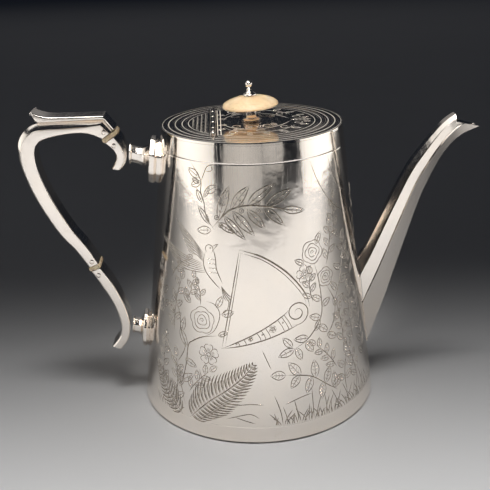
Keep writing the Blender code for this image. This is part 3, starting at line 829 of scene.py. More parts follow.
def with_pin_wells(mesh, names):
    """The bar with a shallow round well in its front and back for each of the named pins."""
    for node, middle in pin_places():
        if node in names:
            reach = Vector((0, HALF_DEPTH + 2, 0))
            inside = Vector((0, HALF_DEPTH - 1.2, 0))
            for sign in (-1, 1):
                ends = (middle + inside * sign, middle + reach * sign)
                mesh = boolean(mesh, rod_mesh("well", *ends, PIN_RADIUS + PIN_GAP))
    return mesh


def grip_lines():
    """The grip's outer and inner side lines; the outer one turns sharply at its corner."""
    count, corner_steps, corner_share, grain = 90, 6, 0.045, 2000
    shoulder, corner = Vector(GRIP_SHOULDER), Vector(GRIP_OUTER[0])
    outer = [shoulder.lerp(corner, k / corner_steps) for k in range(corner_steps)]
    outer += evenly(curve_through(GRIP_OUTER, 12), count - corner_steps)
    fine = evenly(curve_through(GRIP_INNER, 12), grain + 1)
    inner = []
    for k in range(count):
        if k < corner_steps:
            share = corner_share * k / corner_steps
        else:
            share = corner_share + (1 - corner_share) * (k - corner_steps) / (count - corner_steps - 1)
        inner.append(fine[round(share * grain)])
    return outer, inner


def make_handle():
    grip = with_pin_wells(bar("grip_bar", *grip_lines(), GRIP_BAND),
                          ("upper_insulator_pin_above", "lower_insulator_pin_above"))
    new_object("grip_bar", grip, "pot", (HANDLE_SILVER,), ("handle_grip",), sharp=25)
    for name, outer, inner, node, band in (
        ("upper_stub_bar", UPPER_STUB_OUTER, UPPER_STUB_INNER, "upper_handle_stub", UPPER_STUB_BAND),
        ("lower_stub_bar", LOWER_STUB_OUTER, LOWER_STUB_INNER, "lower_handle_stub", LOWER_STUB_BAND),
    ):
        lines = [evenly(curve_through(line, 12), 50) for line in (outer, inner)]
        pin = node.replace("handle_stub", "insulator_pin_below")
        mesh = with_pin_wells(bar(name, *lines, band), (pin,))
        new_object(name, mesh, "pot", (HANDLE_SILVER,), (node,), sharp=25)
    for node, middle in pin_places():
        make_pin(node, middle)
    make_thumb_plate()
    for settings in INSULATORS:
        make_insulator(*settings)


def make_thumb_plate():
    outline = rounded(smooth(PLATE_TOP, 8) + PLATE_END + PLATE_UNDER, 0.5, steps=2)
    mesh = flat_bar("thumb_plate", outline, HALF_DEPTH, 1.15, 5)
    new_object("thumb_plate_rolled", mesh, "pot", (HANDLE_SILVER,), ("thumb_plate",), sharp=30)


def make_insulator(node, start, end, band, fall):
    """A bone washer that follows the bar's section, a little proud of it, with rounded edges."""
    a, b = Vector(start), Vector(end)
    across = (b - a).normalized()
    along = Vector((across.y, -across.x))
    width = (b - a).length
    half = HALF_DEPTH + INSULATOR_PROUD
    section = rounded([(0.0, -half), (0.0, half), (width - band, half), (width, half - fall),
                       (width, -half + fall), (width - band, -half)], 0.9, steps=4)
    middle = Vector((width / 2, 0.0))
    rings = []
    steps = 10
    for k in range(steps + 1):
        angle = math.pi * k / steps
        lift = -math.cos(angle) * INSULATOR_THICKNESS / 2
        shrink = 1 - math.sin(angle) ** 0.7
        ring = []
        for point in section:
            offset = Vector(point) - middle
            place = middle + offset * (1 - shrink / offset.length)
            spot = a + across * place.x + along * lift
            ring.append((spot.x, place.y, spot.y))
        rings.append(ring)
    new_object(node + "_ring", loft(node, rings), "pot", (WASHER_BONE,), (node,),
               sharp=50)


def make_pin(node, middle):
    """A flush pin whose two ends are slightly domed."""
    end = HALF_DEPTH + 0.08
    profile = [(0, end), (0.6, end - 0.02), (1.1, end - 0.1), (PIN_RADIUS, end - 0.3)]
    profile += [(r, -z) for r, z in reversed(profile)]
    mesh = turned(node, profile, 32, lying(middle.x, middle.z), closed=False)
    new_object(node + "_domed", mesh, "pot", (HANDLE_SILVER,), (node,), sharp=45)


# ---------------------------------------------------------------- sockets

# A socket's axis climbs by this share of its distance from the wall
SOCKET_RISE = 0.30
SOCKET_FACETS = 8

# Node, height of its middle on the wall, and its profile as (radius, distance off the wall)
SOCKETS = (
    ("upper_socket", 157.2, [
        (5.9, 18.4), (6.4, 18.2), (6.6, 17.6), (6.3, 17.1), (5.5, 16.6), (5.3, 15.0), (5.25, 12.5),
        (5.7, 10.8), (6.6, 9.3), (8.4, 7.8), (11.0, 6.6), (13.6, 5.9), (14.5, 5.4), (14.8, 4.7),
        (14.8, 2.6), (14.4, 2.0), (13.5, 1.7), (13.1, 1.4), (13.6, 1.0), (14.2, 0.3), (14.4, -3.2)]),
    ("lower_socket", 43.2, [
        (5.2, 11.4), (5.7, 11.2), (5.8, 10.7), (5.5, 10.3), (5.15, 10.0), (5.05, 8.4), (5.2, 7.0),
        (5.9, 5.9), (7.4, 5.1), (9.4, 4.6), (11.4, 4.2), (12.1, 3.9), (12.4, 3.4), (12.4, 1.9),
        (12.0, 1.4), (11.2, 1.2), (10.9, 0.9), (11.4, 0.5), (11.8, 0.0), (12.0, -3.0)]),
)


def make_socket(node, height, profile):
    """A faceted trumpet on the wall, its corners a little softened."""
    sections = []
    for radius, distance in profile:
        turns = [(k + 0.5) * 360 / SOCKET_FACETS for k in range(SOCKET_FACETS)]
        corners = circle(radius, turns)
        ring = []
        for up, y in rounded(corners, 0.06 * radius, steps=2):
            z = height + SOCKET_RISE * distance + up
            settle = y * y / (2 * body_radius(z)) if distance < 1.0 else 0.0
            ring.append((-body_radius(z) - distance + settle, y, z))
        sections.append(ring)
    new_object(node + "_cast", loft(node, sections), "pot", (CAST_SILVER,), (node,), sharp=26)


# ---------------------------------------------------------------- engraving

def on_wall(u, v, lift):
    """Azimuth in degrees and height on the body, to a point that far off the surface."""
    angle = math.radians(u)
    radius = body_radius(v) + lift * math.cos(TILT)
    return Vector((radius * math.cos(angle), radius * math.sin(angle), v + lift * math.sin(TILT)))


def on_top(u, v, lift):
    return Vector((u, v, TOP + lift))


class Engraving:
    """Cut lines gathered into one mesh; each is a thin closed ribbon with a V along its middle.

    A place on the body is (azimuth in degrees, height), and one on the top is (x, y).
    """

    SECTION = ((-0.5, -0.04), (-0.33, 0.05), (0.0, 0.005), (0.33, 0.05), (0.5, -0.04), (0.0, -0.25))
    WEIGHT = 1.35
    PITCH = 1.1
    FINEST = 0.12

    def __init__(self, surface, wrapped, mirror=1):
        self.surface = surface
        self.wrapped = wrapped
        self.mirror = mirror
        self.points = []
        self.faces = []
        self.cut_faces = []

    def to_surface(self, origin, x, y):
        """A step of (x, y) millimetres from a place on the surface."""
        u, v = origin
        if self.wrapped:
            return (u + math.degrees(x / body_radius(v + y)), v + y)
        return (u + x, v + y)

    def place(self, origin, angle, shape):
        """A shape drawn in millimetres, turned and set down at a place on the surface."""
        c, s = math.cos(math.radians(angle)), math.sin(math.radians(angle))
        return [self.to_surface(origin, x * c - y * s, x * s + y * c) for x, y in shape]

    def stroke(self, line, width, blunt=False):
        """One cut along a line of surface places, pointed at both ends unless it is blunt."""
        line = [Vector((u * self.mirror, v)) for u, v in line]
        spots = [self.surface(u, v, 0.0) for u, v in line]
        length = sum((b - a).length for a, b in zip(spots, spots[1:]))
        count = max(4, int(length / self.PITCH) + 1)
        places = []
        for u, v in evenly(line, count):
            base = self.surface(u, v, 0.0)
            places.append((base, self.surface(u, v, 1.0) - base))
        start = len(self.points)
        for k, (base, normal) in enumerate(places):
            ahead = places[min(k + 1, count - 1)][0] - places[max(k - 1, 0)][0]
            side = normal.cross(ahead).normalized()
            t = k / (count - 1)
            share = 1.0 if blunt else max(self.FINEST, min(1.0, math.sin(math.pi * t) * 1.7))
            for across, lift in self.SECTION:
                deep = lift if lift < 0 else lift * share
                self.points.append(base + side * (across * width * self.WEIGHT * share) + normal * deep)
        size = len(self.SECTION)
        for k in range(count - 1):
            a = start + k * size
            for i in range(size):
                j = (i + 1) % size
                if i in (1, 2):
                    self.cut_faces.append(len(self.faces))
                self.faces.append((a + i, a + j, a + size + j, a + size + i))
        end = start + (count - 1) * size
        self.faces.append(tuple(start + i for i in range(size)))
        self.faces.append(tuple(end + size - 1 - i for i in range(size)))

    def mark(self, origin, angle, shape, width, blunt=False):
        """A stroke drawn in millimetres, turned and set down at a place on the surface."""
        self.stroke(self.place(origin, angle, shape), width, blunt)

    def curve(self, points, width):
        """A cut that runs smoothly through surface places."""
        self.stroke(smooth(points, 6), width)

    def arc(self, origin, radius, first, last, width, squash=1.0):
        degrees = [first + (last - first) * k / 12 for k in range(13)]
        shape = [(x, y * squash) for x, y in circle(radius, degrees)]
        self.mark(origin, 0.0, shape, width, last - first >= 360)

    def leaf(self, base, angle, length, width, veins=4, line=0.5, curl=0.0):
        """A pointed leaf: two edges, a midrib and slanting veins on one half."""
        def middle(t):
            return curl * length * t * t

        for side in (1, -1):
            edge = [(length * t, side * width / 2 * math.sin(math.pi * t ** 0.85) + middle(t))
                    for t in (k / 8 for k in range(9))]
            self.mark(base, angle, edge, line)
        rib = [(length * t, middle(t)) for t in (0.0, 0.3, 0.6, 0.92)]
        self.mark(base, angle, rib, line * 0.75)
        for k in range(veins):
            t = 0.2 + 0.58 * k / max(1, veins - 1)
            for side in (1, -1):
                reach = width / 2 * math.sin(math.pi * t ** 0.85) * 0.8
                vein = [(length * t, middle(t)),
                        (length * (t + 0.07), middle(t) + side * reach * 0.6),
                        (length * (t + 0.11), middle(t) + side * reach)]
                self.mark(base, angle, vein, line * 0.5)

    def leaves(self, table, veins):
        """Leaves given as (base, angle, length, width)."""
        for base, angle, length, width in table:
            self.leaf(base, angle, length, width, veins)

    def fern(self, stem, longest, line, leaflets):
        """A fern frond: a stem with curved leaflets, longest near the foot."""
        path = curve_through(stem, 10)
        self.stroke([tuple(p) for p in path], line * 1.3)
        spots = evenly(path, leaflets + 2)
        for k in range(1, leaflets + 1):
            here, ahead = spots[k], spots[k + 1]
            width = math.radians(1.0) * body_radius(here.y)
            along = math.degrees(math.atan2(ahead.y - here.y, (ahead.x - here.x) * width))
            t = k / leaflets
            size = longest * (0.42 + 0.58 * min(1.0, t / 0.25)) * (1.03 - t) ** 0.62
            for side in (1, -1):
                shape = [(0, 0), (size * 0.35, side * size * 0.10), (size * 0.72, side * size * 0.07),
                         (size, -side * size * 0.04)]
                angle = along + side * (58 - 12 * t)
                shape = smooth(shape, 3)
                self.mark(tuple(here), angle, shape, line * 1.5)
                if size > 3.0:
                    shadow = [(x * 0.8 + 0.2, y - side * 0.9) for x, y in shape]
                    self.mark(tuple(here), angle, shadow, line * 0.7)

    def spray(self, stem, leaves, line=0.45):
        """A stem with leaves given as (share of the stem, angle, length, width)."""
        path = curve_through(stem, 10)
        self.stroke([tuple(p) for p in path], line * 1.4)
        spots = evenly(path, 101)
        for share, angle, length, width in leaves:
            spot = spots[round(share * 100)]
            self.leaf(tuple(spot), angle, length, width, line=line)

    def berry(self, centre, radius):
        self.arc(centre, radius, 0, 360, 0.42)
        self.arc(centre, radius * 0.35, 0, 360, 0.5)

    def blossom(self, centre, radius, turn, line=0.45):
        """An open flower: round petals, each with a notch and rays, about a dotted eye."""
        for angle in range(turn, turn + 360, 72):
            petal = [(radius * 0.22, 0.0), (radius * 0.45, radius * 0.36), (radius * 0.85, radius * 0.44),
                     (radius * 1.02, radius * 0.22), (radius * 0.93, 0.0)]
            for side in (1, -1):
                shape = [(x, side * y) for x, y in petal]
                self.mark(centre, angle, smooth(shape, 4), line)
            for spread in (-14, 0, 14):
                ray = [(radius * 0.3, 0), (radius * 0.7, 0)]
                self.mark(centre, angle + spread, ray, line * 0.6)
        self.arc(centre, radius * 0.2, 0, 360, line)

    def rose(self, centre, radius, turn, line=0.45):
        """A full rose: overlapping curved petals that wind in to the heart."""
        for ring, (size, count) in enumerate(((1.0, 5), (0.7, 4), (0.42, 3))):
            for k in range(count):
                angle = turn + 35 * ring + 360 * k / count
                span = 360 / count * 0.62
                bow = []
                for i in range(9):
                    a = math.radians(-span + 2 * span * i / 8)
                    swell = size * (1.0 + 0.10 * math.cos(3 * a))
                    bow.append((radius * swell * math.cos(a), radius * swell * math.sin(a)))
                self.mark(centre, angle, bow, line)
        self.mark(centre, turn, spiral(20, 0.5, 0.0, 0.0, radius * 0.011), line)

    def blade(self, foot, height, lean, line):
        shape = [(0, 0), (lean * 0.25, height * 0.45), (lean, height)]
        self.mark(foot, 0, smooth(shape, 5), line)

    def sprig(self, foot, angle, length, bend, leaves, size, line=0.45):
        """A curved twig with leaves on alternate sides and one at its tip."""
        shape = [(length * t, bend * t * t) for t in (0, 0.25, 0.5, 0.75, 1.0)]
        self.mark(foot, angle, smooth(shape, 4), line * 1.3)
        for k in range(1, leaves + 1):
            t = k / leaves
            x, y = length * t, bend * t * t
            heading = angle + math.degrees(math.atan2(2 * bend * t, length))
            turn = 0 if k == leaves else (46 if k % 2 else -46)
            spot = self.place(foot, angle, [(x, y)])[0]
            self.leaf(spot, heading + turn, size * (1.1 - 0.25 * t), size * 0.46, veins=3, line=line)

    def make(self, name, body, cut=CUT_SILVER):
        mesh = mesh_of(name, self.points, self.faces)
        new_object(name, mesh, body, (ENGRAVED_EDGE, cut), sharp=80)
        indices = np.zeros(len(mesh.polygons), dtype=np.int32)
        indices[self.cut_faces] = 1
        mesh.polygons.foreach_set("material_index", indices)


def engrave_branch(e):
    """The large leafy branch with berries that crosses the body below the neck ring."""
    stem = [(-115, 132), (-107, 141), (-101, 144), (-93, 145), (-80, 143), (-71, 140)]
    e.curve(stem, 1.0)
    leaves = (((-112, 136), 76, 19, 4.4), ((-105, 142), 57, 16, 4.4), ((-96, 145), 40, 18, 4.6),
              ((-86, 144), 32, 17, 4.4), ((-77, 142), -14, 13, 3.6), ((-87, 144), -48, 15, 3.6),
              ((-96, 143), -52, 14, 4.0), ((-104, 142), -52, 17, 4.4), ((-109, 139), -50, 17, 3.4),
              ((-112, 135), -34, 11, 3.0))
    for base, angle, length, width in leaves:
        curl = -0.06 if angle > 0 else 0.06
        e.leaf(base, angle, length * 1.12, width * 1.2, line=0.62, curl=curl)
    for spot in ((-99, 146.6), (-99, 142), (-90, 146.4), (-90, 141.8), (-113, 137.5), (-110.5, 133)):
        e.berry(spot, 1.35)


def engrave_climber(e):
    """The looping stem with small leaves that hangs from the neck ring."""
    e.curve([(-131, 167.5), (-126, 162), (-123, 157), (-123, 151), (-121, 146), (-119, 137),
             (-114, 130)], 0.6)
    e.curve([(-114, 167.5), (-119, 166), (-121, 162), (-123, 157)], 0.55)
    e.curve([(-117, 167.5), (-116, 164), (-120, 163)], 0.4)
    e.leaves((
        ((-124, 159), 152, 10, 4.2), ((-123, 157), 205, 8, 4.0), ((-120, 151), 32, 9, 4.4),
        ((-122, 145), 118, 9, 3.0), ((-117, 133), 128, 13, 3.4), ((-116, 130), 188, 10, 4.6),
        ((-124, 156), 160, 6, 2.6), ((-121, 148), 62, 8, 2.4),
    ), veins=2)


def engrave_feather(e, root, tip, bow, droop):
    """A bowed stroke from root to tip and a finer one beside its outer half."""
    root, tip = Vector(root), Vector(tip)
    bend = root.lerp(tip, 0.5) + Vector(bow)
    e.curve([root, bend, tip], 0.42)
    e.curve([bend, bend.lerp(tip, 0.6) + Vector(droop), tip], 0.32)


def engrave_bird(e):
    """A plain small bird in flight, wings spread behind it, its feathers in single strokes."""
    e.curve([(-115.2, 120), (-113.6, 114), (-112.8, 107), (-109.5, 99)], 0.55)
    e.curve([(-119.4, 117), (-120.6, 111), (-119, 105), (-114, 99), (-110.5, 95.5)], 0.55)
    e.arc((-117.2, 118.8), 2.5, -60, 240, 0.5)
    e.arc((-116.6, 119.4), 0.45, 0, 360, 0.4)
    e.curve([(-115.2, 120.6), (-112.2, 122.2), (-115.0, 118.4)], 0.45)
    for k in range(7):
        t = k / 6
        engrave_feather(e, (-119.6 - 0.6 * t, 114.5 - 4.5 * t), (-141 + 9.5 * t, 132.5 - 16 * t),
                        (1.4, 0.6), (-0.5, -0.8))
        engrave_feather(e, (-120.0 + 1.6 * t, 109.5 - 5 * t), (-157 + 17 * t, 120.5 - 14.5 * t),
                        (0.0, -1.4), (0.0, -1.3))
    for spread in (-13, -4, 5, 14):
        tail = [(0, 0), (6, -0.7), (12 - abs(spread) * 0.2, 0)]
        e.mark((-110.2, 97.5), -58 + spread, smooth(tail, 4), 0.45)
    for row in range(4):
        for k in range(3):
            e.arc((-117.6 + 1.6 * k + 0.5 * row, 113.5 - 2.6 * row), 0.9, 190, 350, 0.3)


def engrave_left_growth(e):
    """The rose, its buds and the tall stems under the bird."""
    e.rose((-121, 75), 7.6, 20)
    e.blossom((-117, 54.5), 6.2, 90)
    e.curve([(-133, 28), (-130, 45), (-129, 57), (-126, 61), (-120, 65), (-112, 67)], 0.8)
    e.curve([(-130, 18), (-133, 30), (-137, 42), (-146, 54), (-150, 60)], 0.6)
    e.curve([(-137, 42), (-131, 55), (-134, 65), (-136, 77), (-141, 86)], 0.6)
    e.curve([(-120, 65), (-114, 70), (-111, 80), (-114, 86), (-119, 87)], 0.5)
    e.curve([(-111, 80), (-107, 84), (-106, 92)], 0.45)
    e.leaves((
        ((-135, 66), -58, 13, 4.6), ((-134, 64), 75, 11, 4.0), ((-131, 48), -20, 10, 4.2),
        ((-137, 43), -64, 10, 3.6), ((-133, 33), 34, 12, 5.0), ((-134, 30), 80, 10, 4.0),
        ((-139, 74), 150, 9, 3.6), ((-142, 80), 60, 8, 3.2), ((-144, 52), 118, 9, 3.6),
        ((-113, 84), 62, 9, 3.6), ((-110, 80), 20, 8, 4.4), ((-128, 84), 140, 8, 4.0),
        ((-112, 67), 26, 7, 3.0),
    ), veins=3)


def engrave_cartouche(e):
    """A plain fan-shaped panel left open for initials, with a banded lower edge and a scroll."""
    apex, corner, right = (-100.5, 119.6), (-110, 59.5), (-64.5, 82)
    e.curve([apex, (-89, 115.5), (-78, 107), (-70, 97), (-65.5, 88), right], 1.0)
    e.curve([(-100, 117.9), (-89, 113.7), (-79, 105.6), (-71.6, 96), (-67.2, 88), (-66.2, 83)], 0.45)
    for shift in (0.0, 2.0):
        high = (apex[0] + shift * 0.4, apex[1] - shift)
        low = (corner[0] + shift * 0.9, corner[1] + shift)
        e.stroke([high, low], 0.7 - 0.12 * shift)
    upper = [corner, (-101, 64.8), (-90, 71.6), (-79, 79.4), (-75, 83.4)]
    lower = [corner, (-100, 62), (-88, 65.8), (-77, 70.2), (-70, 73.2)]
    e.curve(upper, 0.7)
    e.curve(lower, 0.7)
    for share in (0.22, 0.30, 0.48, 0.54, 0.60, 0.78, 0.84, 0.88):
        a, b = (evenly(curve_through(edge, 8), 101)[round(share * 100)] for edge in (upper, lower))
        e.stroke([tuple(a), tuple((a + b) / 2 + Vector((0.5, -0.3))), tuple(b)], 0.42, True)
    for spot, size in (((-95.6, 66.4), 1.5), ((-84.6, 71.9), 2.2)):
        e.blossom(spot, size, 18, 0.32)
    for spot in ((-102.6, 63.2), (-89.8, 68.9), (-79.4, 75.2)):
        e.arc(spot, 0.55, 0, 360, 0.4)
    scroll = [(x, 0.95 * y) for x, y in spiral(30, 0.42, -2.0, 8.2, -0.25)]
    e.mark((-71.6, 80), 0, scroll, 0.7)


def engrave_right_growth(e):
    """The blossoms and long leafy column on the side of the spout."""
    e.rose((-60.5, 114), 6.6, 60)
    e.blossom((-66, 102), 5.2, 30)
    e.rose((-53, 97), 5.4, 10)
    e.curve([(-60, 108), (-58, 98), (-57, 86), (-58, 74), (-66, 63), (-74, 58)], 0.7)
    e.curve([(-53, 92), (-48, 80), (-50, 68), (-56, 60)], 0.6)
    e.curve([(-48, 80), (-42, 92), (-38, 104), (-37, 116)], 0.6)
    e.leaves((
        ((-37, 112), 70, 10, 4.2), ((-39, 104), 20, 9, 4.0), ((-40, 98), 150, 9, 4.0),
        ((-43, 90), 12, 10, 4.4), ((-45, 86), 130, 9, 4.0), ((-48, 78), 20, 11, 4.6),
        ((-57, 84), 150, 8, 3.8), ((-57, 80), 28, 8, 4.0), ((-50, 68), 40, 9, 4.0),
        ((-58, 73), 160, 9, 4.2), ((-60, 69), -38, 9, 4.4), ((-66, 63), 176, 10, 4.6),
        ((-68, 61), -56, 9, 4.4), ((-74, 58), 200, 11, 4.8), ((-73, 58.5), -70, 9, 4.2),
        ((-75, 59), 130, 9, 4.2), ((-62, 66), 60, 8, 3.6), ((-55, 62), -30, 9, 4.4),
        ((-58, 118), 60, 8, 3.6), ((-66, 108), 150, 7, 3.4),
    ), veins=3)
    for k, (u, v) in enumerate(((-36, 62), (-33, 55), (-31, 68))):
        for row in range(7):
            e.stroke([(u + 1.3 * row, v), (u + 3 + 1.3 * row, v + 12 - k)], 0.45)


def engrave_low_leaves(e):
    """The spray of rose leaves and the grasses near the foot ring."""
    e.spray([(-51, 24), (-57, 30), (-65, 38), (-72, 41), (-79, 42.5)], (
        (1.0, 176, 9.5, 5.6), (0.78, 128, 12, 5.6), (0.52, 92, 12, 5.6), (0.30, 66, 11, 5.2),
        (0.80, -128, 9.5, 5.0), (0.60, -112, 11, 5.2), (0.36, -98, 11, 5.2), (0.12, 30, 11, 5.0),
        (0.05, 92, 12, 5.2)))
    e.spray([(-44, 18), (-45, 30), (-43, 44)], (
        (1.0, 84, 9, 4.4), (0.7, 140, 9, 4.4), (0.7, 36, 9, 4.4), (0.4, 150, 9, 4.4), (0.4, 24, 9, 4.4)))
    draw = random.Random(7)
    for first, last, count in ((-85, -48, 44), (-47, -20, 34), (-18, 18, 30), (-150, -133, 10)):
        for k in range(count):
            u = first + (last - first) * (k + draw.random() * 0.7) / count
            tall = 5 + 9 * draw.random() ** 1.6 + (8 if k % 9 == 4 else 0)
            e.blade((u, RING_HEIGHTS[0] + 0.2), tall, draw.uniform(-6, 6), 0.55)
    for ground in ([(-105, 24), (-97, 25.4), (-90, 25)], [(-108, 15), (-101, 18), (-96, 19), (-92, 16)],
                   [(-104, 17), (-98, 14.5), (-94, 13)], [(-90, 59), (-88, 53), (-86, 47)],
                   [(-80, 24), (-72, 27), (-66, 28)]):
        e.curve(ground, 0.45)
    e.curve([(-122, 44), (-120, 36), (-119, 30)], 0.5)


def engrave_thickets(e):
    """Twigs that fill the two sides of the picture."""
    for foot, angle, length, bend, leaves, size in (
        ((-137, 12), 78, 34, 7, 8, 8.5), ((-128, 27), 60, 22, -4, 6, 7.5),
        ((-146, 20), 100, 34, -6, 8, 8.5),
        ((-139, 62), 96, 34, -8, 8, 8), ((-131, 84), 62, 16, 3, 5, 6.5), ((-150, 66), 86, 34, 6, 8, 8),
        ((-122, 84), 84, 12, 3, 4, 6), ((-143, 96), 64, 18, -5, 5, 7),
        ((-34, 48), 104, 34, -6, 9, 8.5), ((-44, 50), 84, 26, 6, 7, 8), ((-30, 84), 96, 34, 7, 9, 8),
        ((-52, 104), 62, 22, 6, 6, 7.5), ((-43, 118), 100, 22, -5, 6, 7), ((-62, 84), 112, 16, -5, 5, 7),
        ((-50, 38), 116, 24, 5, 7, 7.5), ((-34, 22), 100, 28, 4, 7, 8), ((-24, 30), 92, 50, 5, 11, 9),
        ((-20, 92), 88, 44, -6, 10, 8.5),
    ):
        e.sprig(foot, angle, length, bend, leaves, size)


def engrave_side(name, mirror):
    e = Engraving(on_wall, True, mirror)
    for engrave in (engrave_branch, engrave_climber, engrave_bird, engrave_left_growth, engrave_cartouche,
                    engrave_right_growth, engrave_low_leaves, engrave_thickets):
        engrave(e)
    e.fern([(-127, 10.8), (-117, 24), (-106, 35), (-98, 44.5), (-93.5, 52)], 20.5, 0.6, 22)
    e.fern([(-131, 10.8), (-139, 19), (-147, 28), (-155, 38)], 14.0, 0.55, 15)
    for line in ([(-58, 167.4), (-52, 152), (-42, 138), (-27, 128)],
                 [(-43, 167.4), (-40, 156), (-34, 147), (-26, 141)]):
        e.curve(line, 0.5)
    return e.make(name, "pot")


def engrave_top():
    """Fine rings, a pale ring along the top plate's rim edge that is a painted highlight, fish scales left
    of the hinge and a symmetrical leaf scroll on the lid.
    """
    plate = Engraving(on_top, False)
    lid = Engraving(on_top, False)
    left, right = HINGE_X - BARREL - 0.9, LID_EDGE + 0.7
    # The 54.0 mm ring runs along the plate's rim edge and is a painted highlight: a pale line where the
    # edge catches light. The 50.4 and 46.4 mm rings are engraved.
    for radius, width in ((54.0, 0.45), (50.4, 0.7), (46.4, 0.5)):
        plate.stroke(circle(radius, range(0, 361, 4)), width, True)
    for radius, width in ((42.2, 0.5), (38.4, 0.45)):
        start = math.degrees(math.acos(right / radius))
        lid.stroke(circle(radius, np.linspace(-start, start, 81)), width, True)
        start = math.degrees(math.acos(left / radius))
        plate.stroke(circle(radius, np.linspace(start, 360 - start, 61)), width, True)
    for row in range(5):
        x = left - 0.2 - 2.5 * row
        for k in range(-10, 11):
            y = (k + 0.5 * (row % 2)) * 3.8
            if math.hypot(x - 2.2, y) < 37.6:
                plate.arc((x, y), 2.0, 96, 264, 0.34, 1.1)
    lid.stroke([(right, -34), (right, 34)], 0.6, True)
    lid.stroke([(right + 1.9, -33), (right + 1.9, 33)], 0.6, True)
    for side in (1, -1):
        engrave_scroll(lid, side)
    lid.leaf((24, 0), 0, 12.5, 5.4, veins=4, line=0.6)
    plate.make("top_rim_engraving_and_edge_highlight", "pot", FROSTED)
    lid.make("lid_engraving", "lid", FROSTED)


def engrave_scroll(e, side):
    """One half of the lid's scroll: a long stem with curling branches and leaves."""
    def both(points):
        return [(x, side * y) for x, y in points]

    e.curve(both([(-17, 3), (-15, 12), (-9, 19), (0, 22), (10, 19), (18, 12), (24, 2)]), 0.7)
    e.curve(both([(-17, 14), (-12, 24), (-2, 30), (9, 29), (19, 23), (26, 13)]), 0.6)
    for x, y, size, turn in ((-11, 27, 4.2, 30), (5, 25.5, 4.6, 0), (19, 17.5, 4.2, -30), (-9, 13, 3.8, 60),
                             (9, 12.5, 3.8, 10), (27.5, 8, 3.2, -60)):
        curl = [(x + a, side * (y + b)) for a, b in spiral(20, 0.42, math.radians(turn), size, -size / 24)]
        e.stroke(curl, 0.55)
    for x, y, angle, length, width in (
        (-16, 18, 150, 6, 3), (-12, 30, 120, 7, 3.4), (-3, 31, 80, 6, 3), (6, 30.5, 60, 6, 3),
        (15, 27, 40, 7, 3.4), (22, 20, 25, 7, 3.4), (28, 12, 15, 6, 3), (-15, 8, 170, 6, 3),
        (-4, 20, -60, 7, 3.4), (4, 19, -80, 7, 3.4), (14, 14, -110, 7, 3.2), (-12, 22, -20, 7, 3),
        (31, 5, 20, 5, 2.4),
    ):
        e.leaf((x, side * y), side * angle, length, width, veins=2, line=0.45)


# ---------------------------------------------------------------- studio

def make_camera():
    """Half a metre off, a little above the pot, with a slight roll."""
    distance, height, side_turn = 0.51137, 0.29517, math.radians(2.2)
    yaw, pitch, roll = math.radians(1.484), math.radians(20.99), math.radians(-1.83)
    ahead = Vector((math.sin(yaw) * math.cos(pitch), math.cos(yaw) * math.cos(pitch), -math.sin(pitch)))
    level = Vector((math.cos(yaw), -math.sin(yaw), 0))
    above = level.cross(ahead)
    right = level * math.cos(roll) + above * math.sin(roll)
    up = above * math.cos(roll) - level * math.sin(roll)
    data = bpy.data.cameras.new("camera")
    data.lens = 62.7
    data.sensor_width = 36.0
    data.clip_start = 0.01
    data.clip_end = 50.0
    camera = bpy.data.objects.new("camera", data)
    bpy.context.scene.collection.objects.link(camera)
    turn = Matrix((right, up, -ahead)).transposed().to_4x4()
    place = Vector((AXIS * MM - distance * math.sin(side_turn), -distance * math.cos(side_turn), height))
    camera.matrix_world = Matrix.Translation(place) @ turn
    bpy.context.scene.camera = camera


WARM_WHITE = (1.0, 0.97, 0.93)

# Tall soft lights that stand round the pot: azimuth, angle filled, distance, height, power, colour
STANDING_CARDS = {
    "card_left": (-176, 76, 1.12, 0.75, 2.2, (1.0, 0.985, 0.95)),
    "card_middle": (-104, 46, 1.40, 0.35, 0.28, WARM_WHITE),
    "card_right": (3, 74, 1.12, 0.45, 1.45, (1.0, 0.98, 0.95)),
}
# The others: place, aim, width, height, power, colour
AIMED_CARDS = {
    "card_step": ((0.52, -1.30, 0.22), (0, 0, 0.22), 0.60, 0.27, 0.10, WARM_WHITE),
    "card_above": ((-0.50, 0.05, 1.2), (0, 0, 0.15), 1.3, 1.1, 2.3, (1.0, 0.99, 0.97)),
}
CARD_SPREAD, OVERHEAD_SPREAD, KEY_SPREAD = 120, 40, 20
FLOOR_RADIUS = 9.0
FLOOR_GAP = 0.004


def area_light(name, place, aim, width, height, power, colour, spread=180):
    data = bpy.data.lights.new(name, "AREA")
    data.shape = "RECTANGLE"
    data.size = width
    data.size_y = height
    data.energy = power
    data.color = colour
    data.spread = math.radians(spread)
    light = bpy.data.objects.new(name, data)
    bpy.context.scene.collection.objects.link(light)
    light.location = place
    light.rotation_euler = (Vector(aim) - Vector(place)).to_track_quat("-Z", "Y").to_euler()
    return light


def card(name, *settings):
    """A light that shows in the silver but leaves matt surfaces as they are."""
    area_light(name, *settings, CARD_SPREAD).visible_diffuse = False


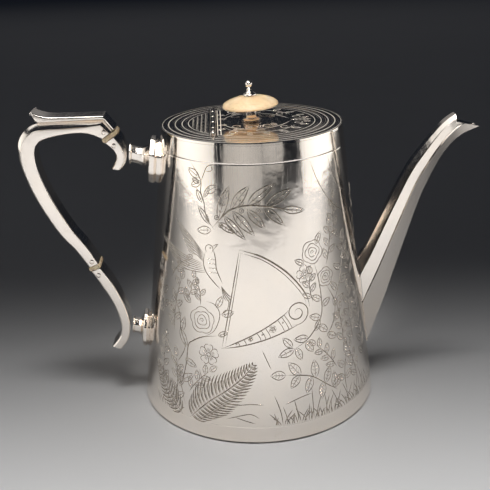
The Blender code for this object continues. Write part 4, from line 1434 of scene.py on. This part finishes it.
def standing_card(name, azimuth, filled, distance, height, power, colour):
    angle = math.radians(azimuth)
    width = 2 * distance * math.tan(math.radians(filled / 2))
    middle = height / 2 + FLOOR_GAP
    place = (distance * math.cos(angle), distance * math.sin(angle), middle)
    card(name, place, (0, 0, middle), width, height, power, colour)


def make_studio():
    scene = bpy.context.scene
    scene.view_settings.view_transform = "Standard"
    studio = bpy.data.worlds.new("studio")
    scene.world = studio
    studio.use_nodes = True
    background = studio.node_tree.nodes["Background"]
    background.inputs["Color"].default_value = (0.010, 0.012, 0.017, 1)
    background.inputs["Strength"].default_value = 1.0
    mesh = bpy.data.meshes.new("floor")
    with editing(mesh) as bm:
        bmesh.ops.create_circle(bm, cap_ends=True, segments=96, radius=FLOOR_RADIUS)
    floor = bpy.data.objects.new("floor", mesh)
    scene.collection.objects.link(floor)
    mesh.materials.append(plain_floor())
    area_light("overhead", (0.0, -0.60, 0.95), (0, -0.60, 0), 2.4, 0.98, 13.0, (1.0, 0.99, 0.975),
               OVERHEAD_SPREAD)
    for name, settings in STANDING_CARDS.items():
        standing_card(name, *settings)
    for name, settings in AIMED_CARDS.items():
        card(name, *settings)
    area_light("key", (-0.01, -0.15, 0.45), (0, 0, 0.192), 0.10, 0.10, 0.035, (1.0, 0.97, 0.92),
               KEY_SPREAD)
    area_light("far_card", (0.0, 2.6, 1.25), (0, 0, 0.2), 3.0, 0.8, 1.6, (1.0, 0.97, 0.94))


def finish_cad_nodes():
    """The nodes that stay as they are get the pot's own finishes."""
    linings = ("base_plate", "foot_ring", "lid_seat_ring", "lid_bezel", "finial_nut", "finial_washer",
               "finial_stud", "hinge_leaf_fixed", "hinge_leaf_lid")
    for name, node in frame["nodes"].items():
        if node.hide_render:
            continue
        node.data.materials.clear()
        node.data.materials.append(LINING if name in linings else CAST_SILVER)


make_camera()
make_studio()
make_body()
make_top_plate()
make_hinge()
make_finial()
make_spout()
make_spout_seam()
make_handle()
for settings in SOCKETS:
    make_socket(*settings)
engrave_side("engraving_front", 1)
engrave_side("engraving_back", -1)
engrave_top()
finish_cad_nodes()
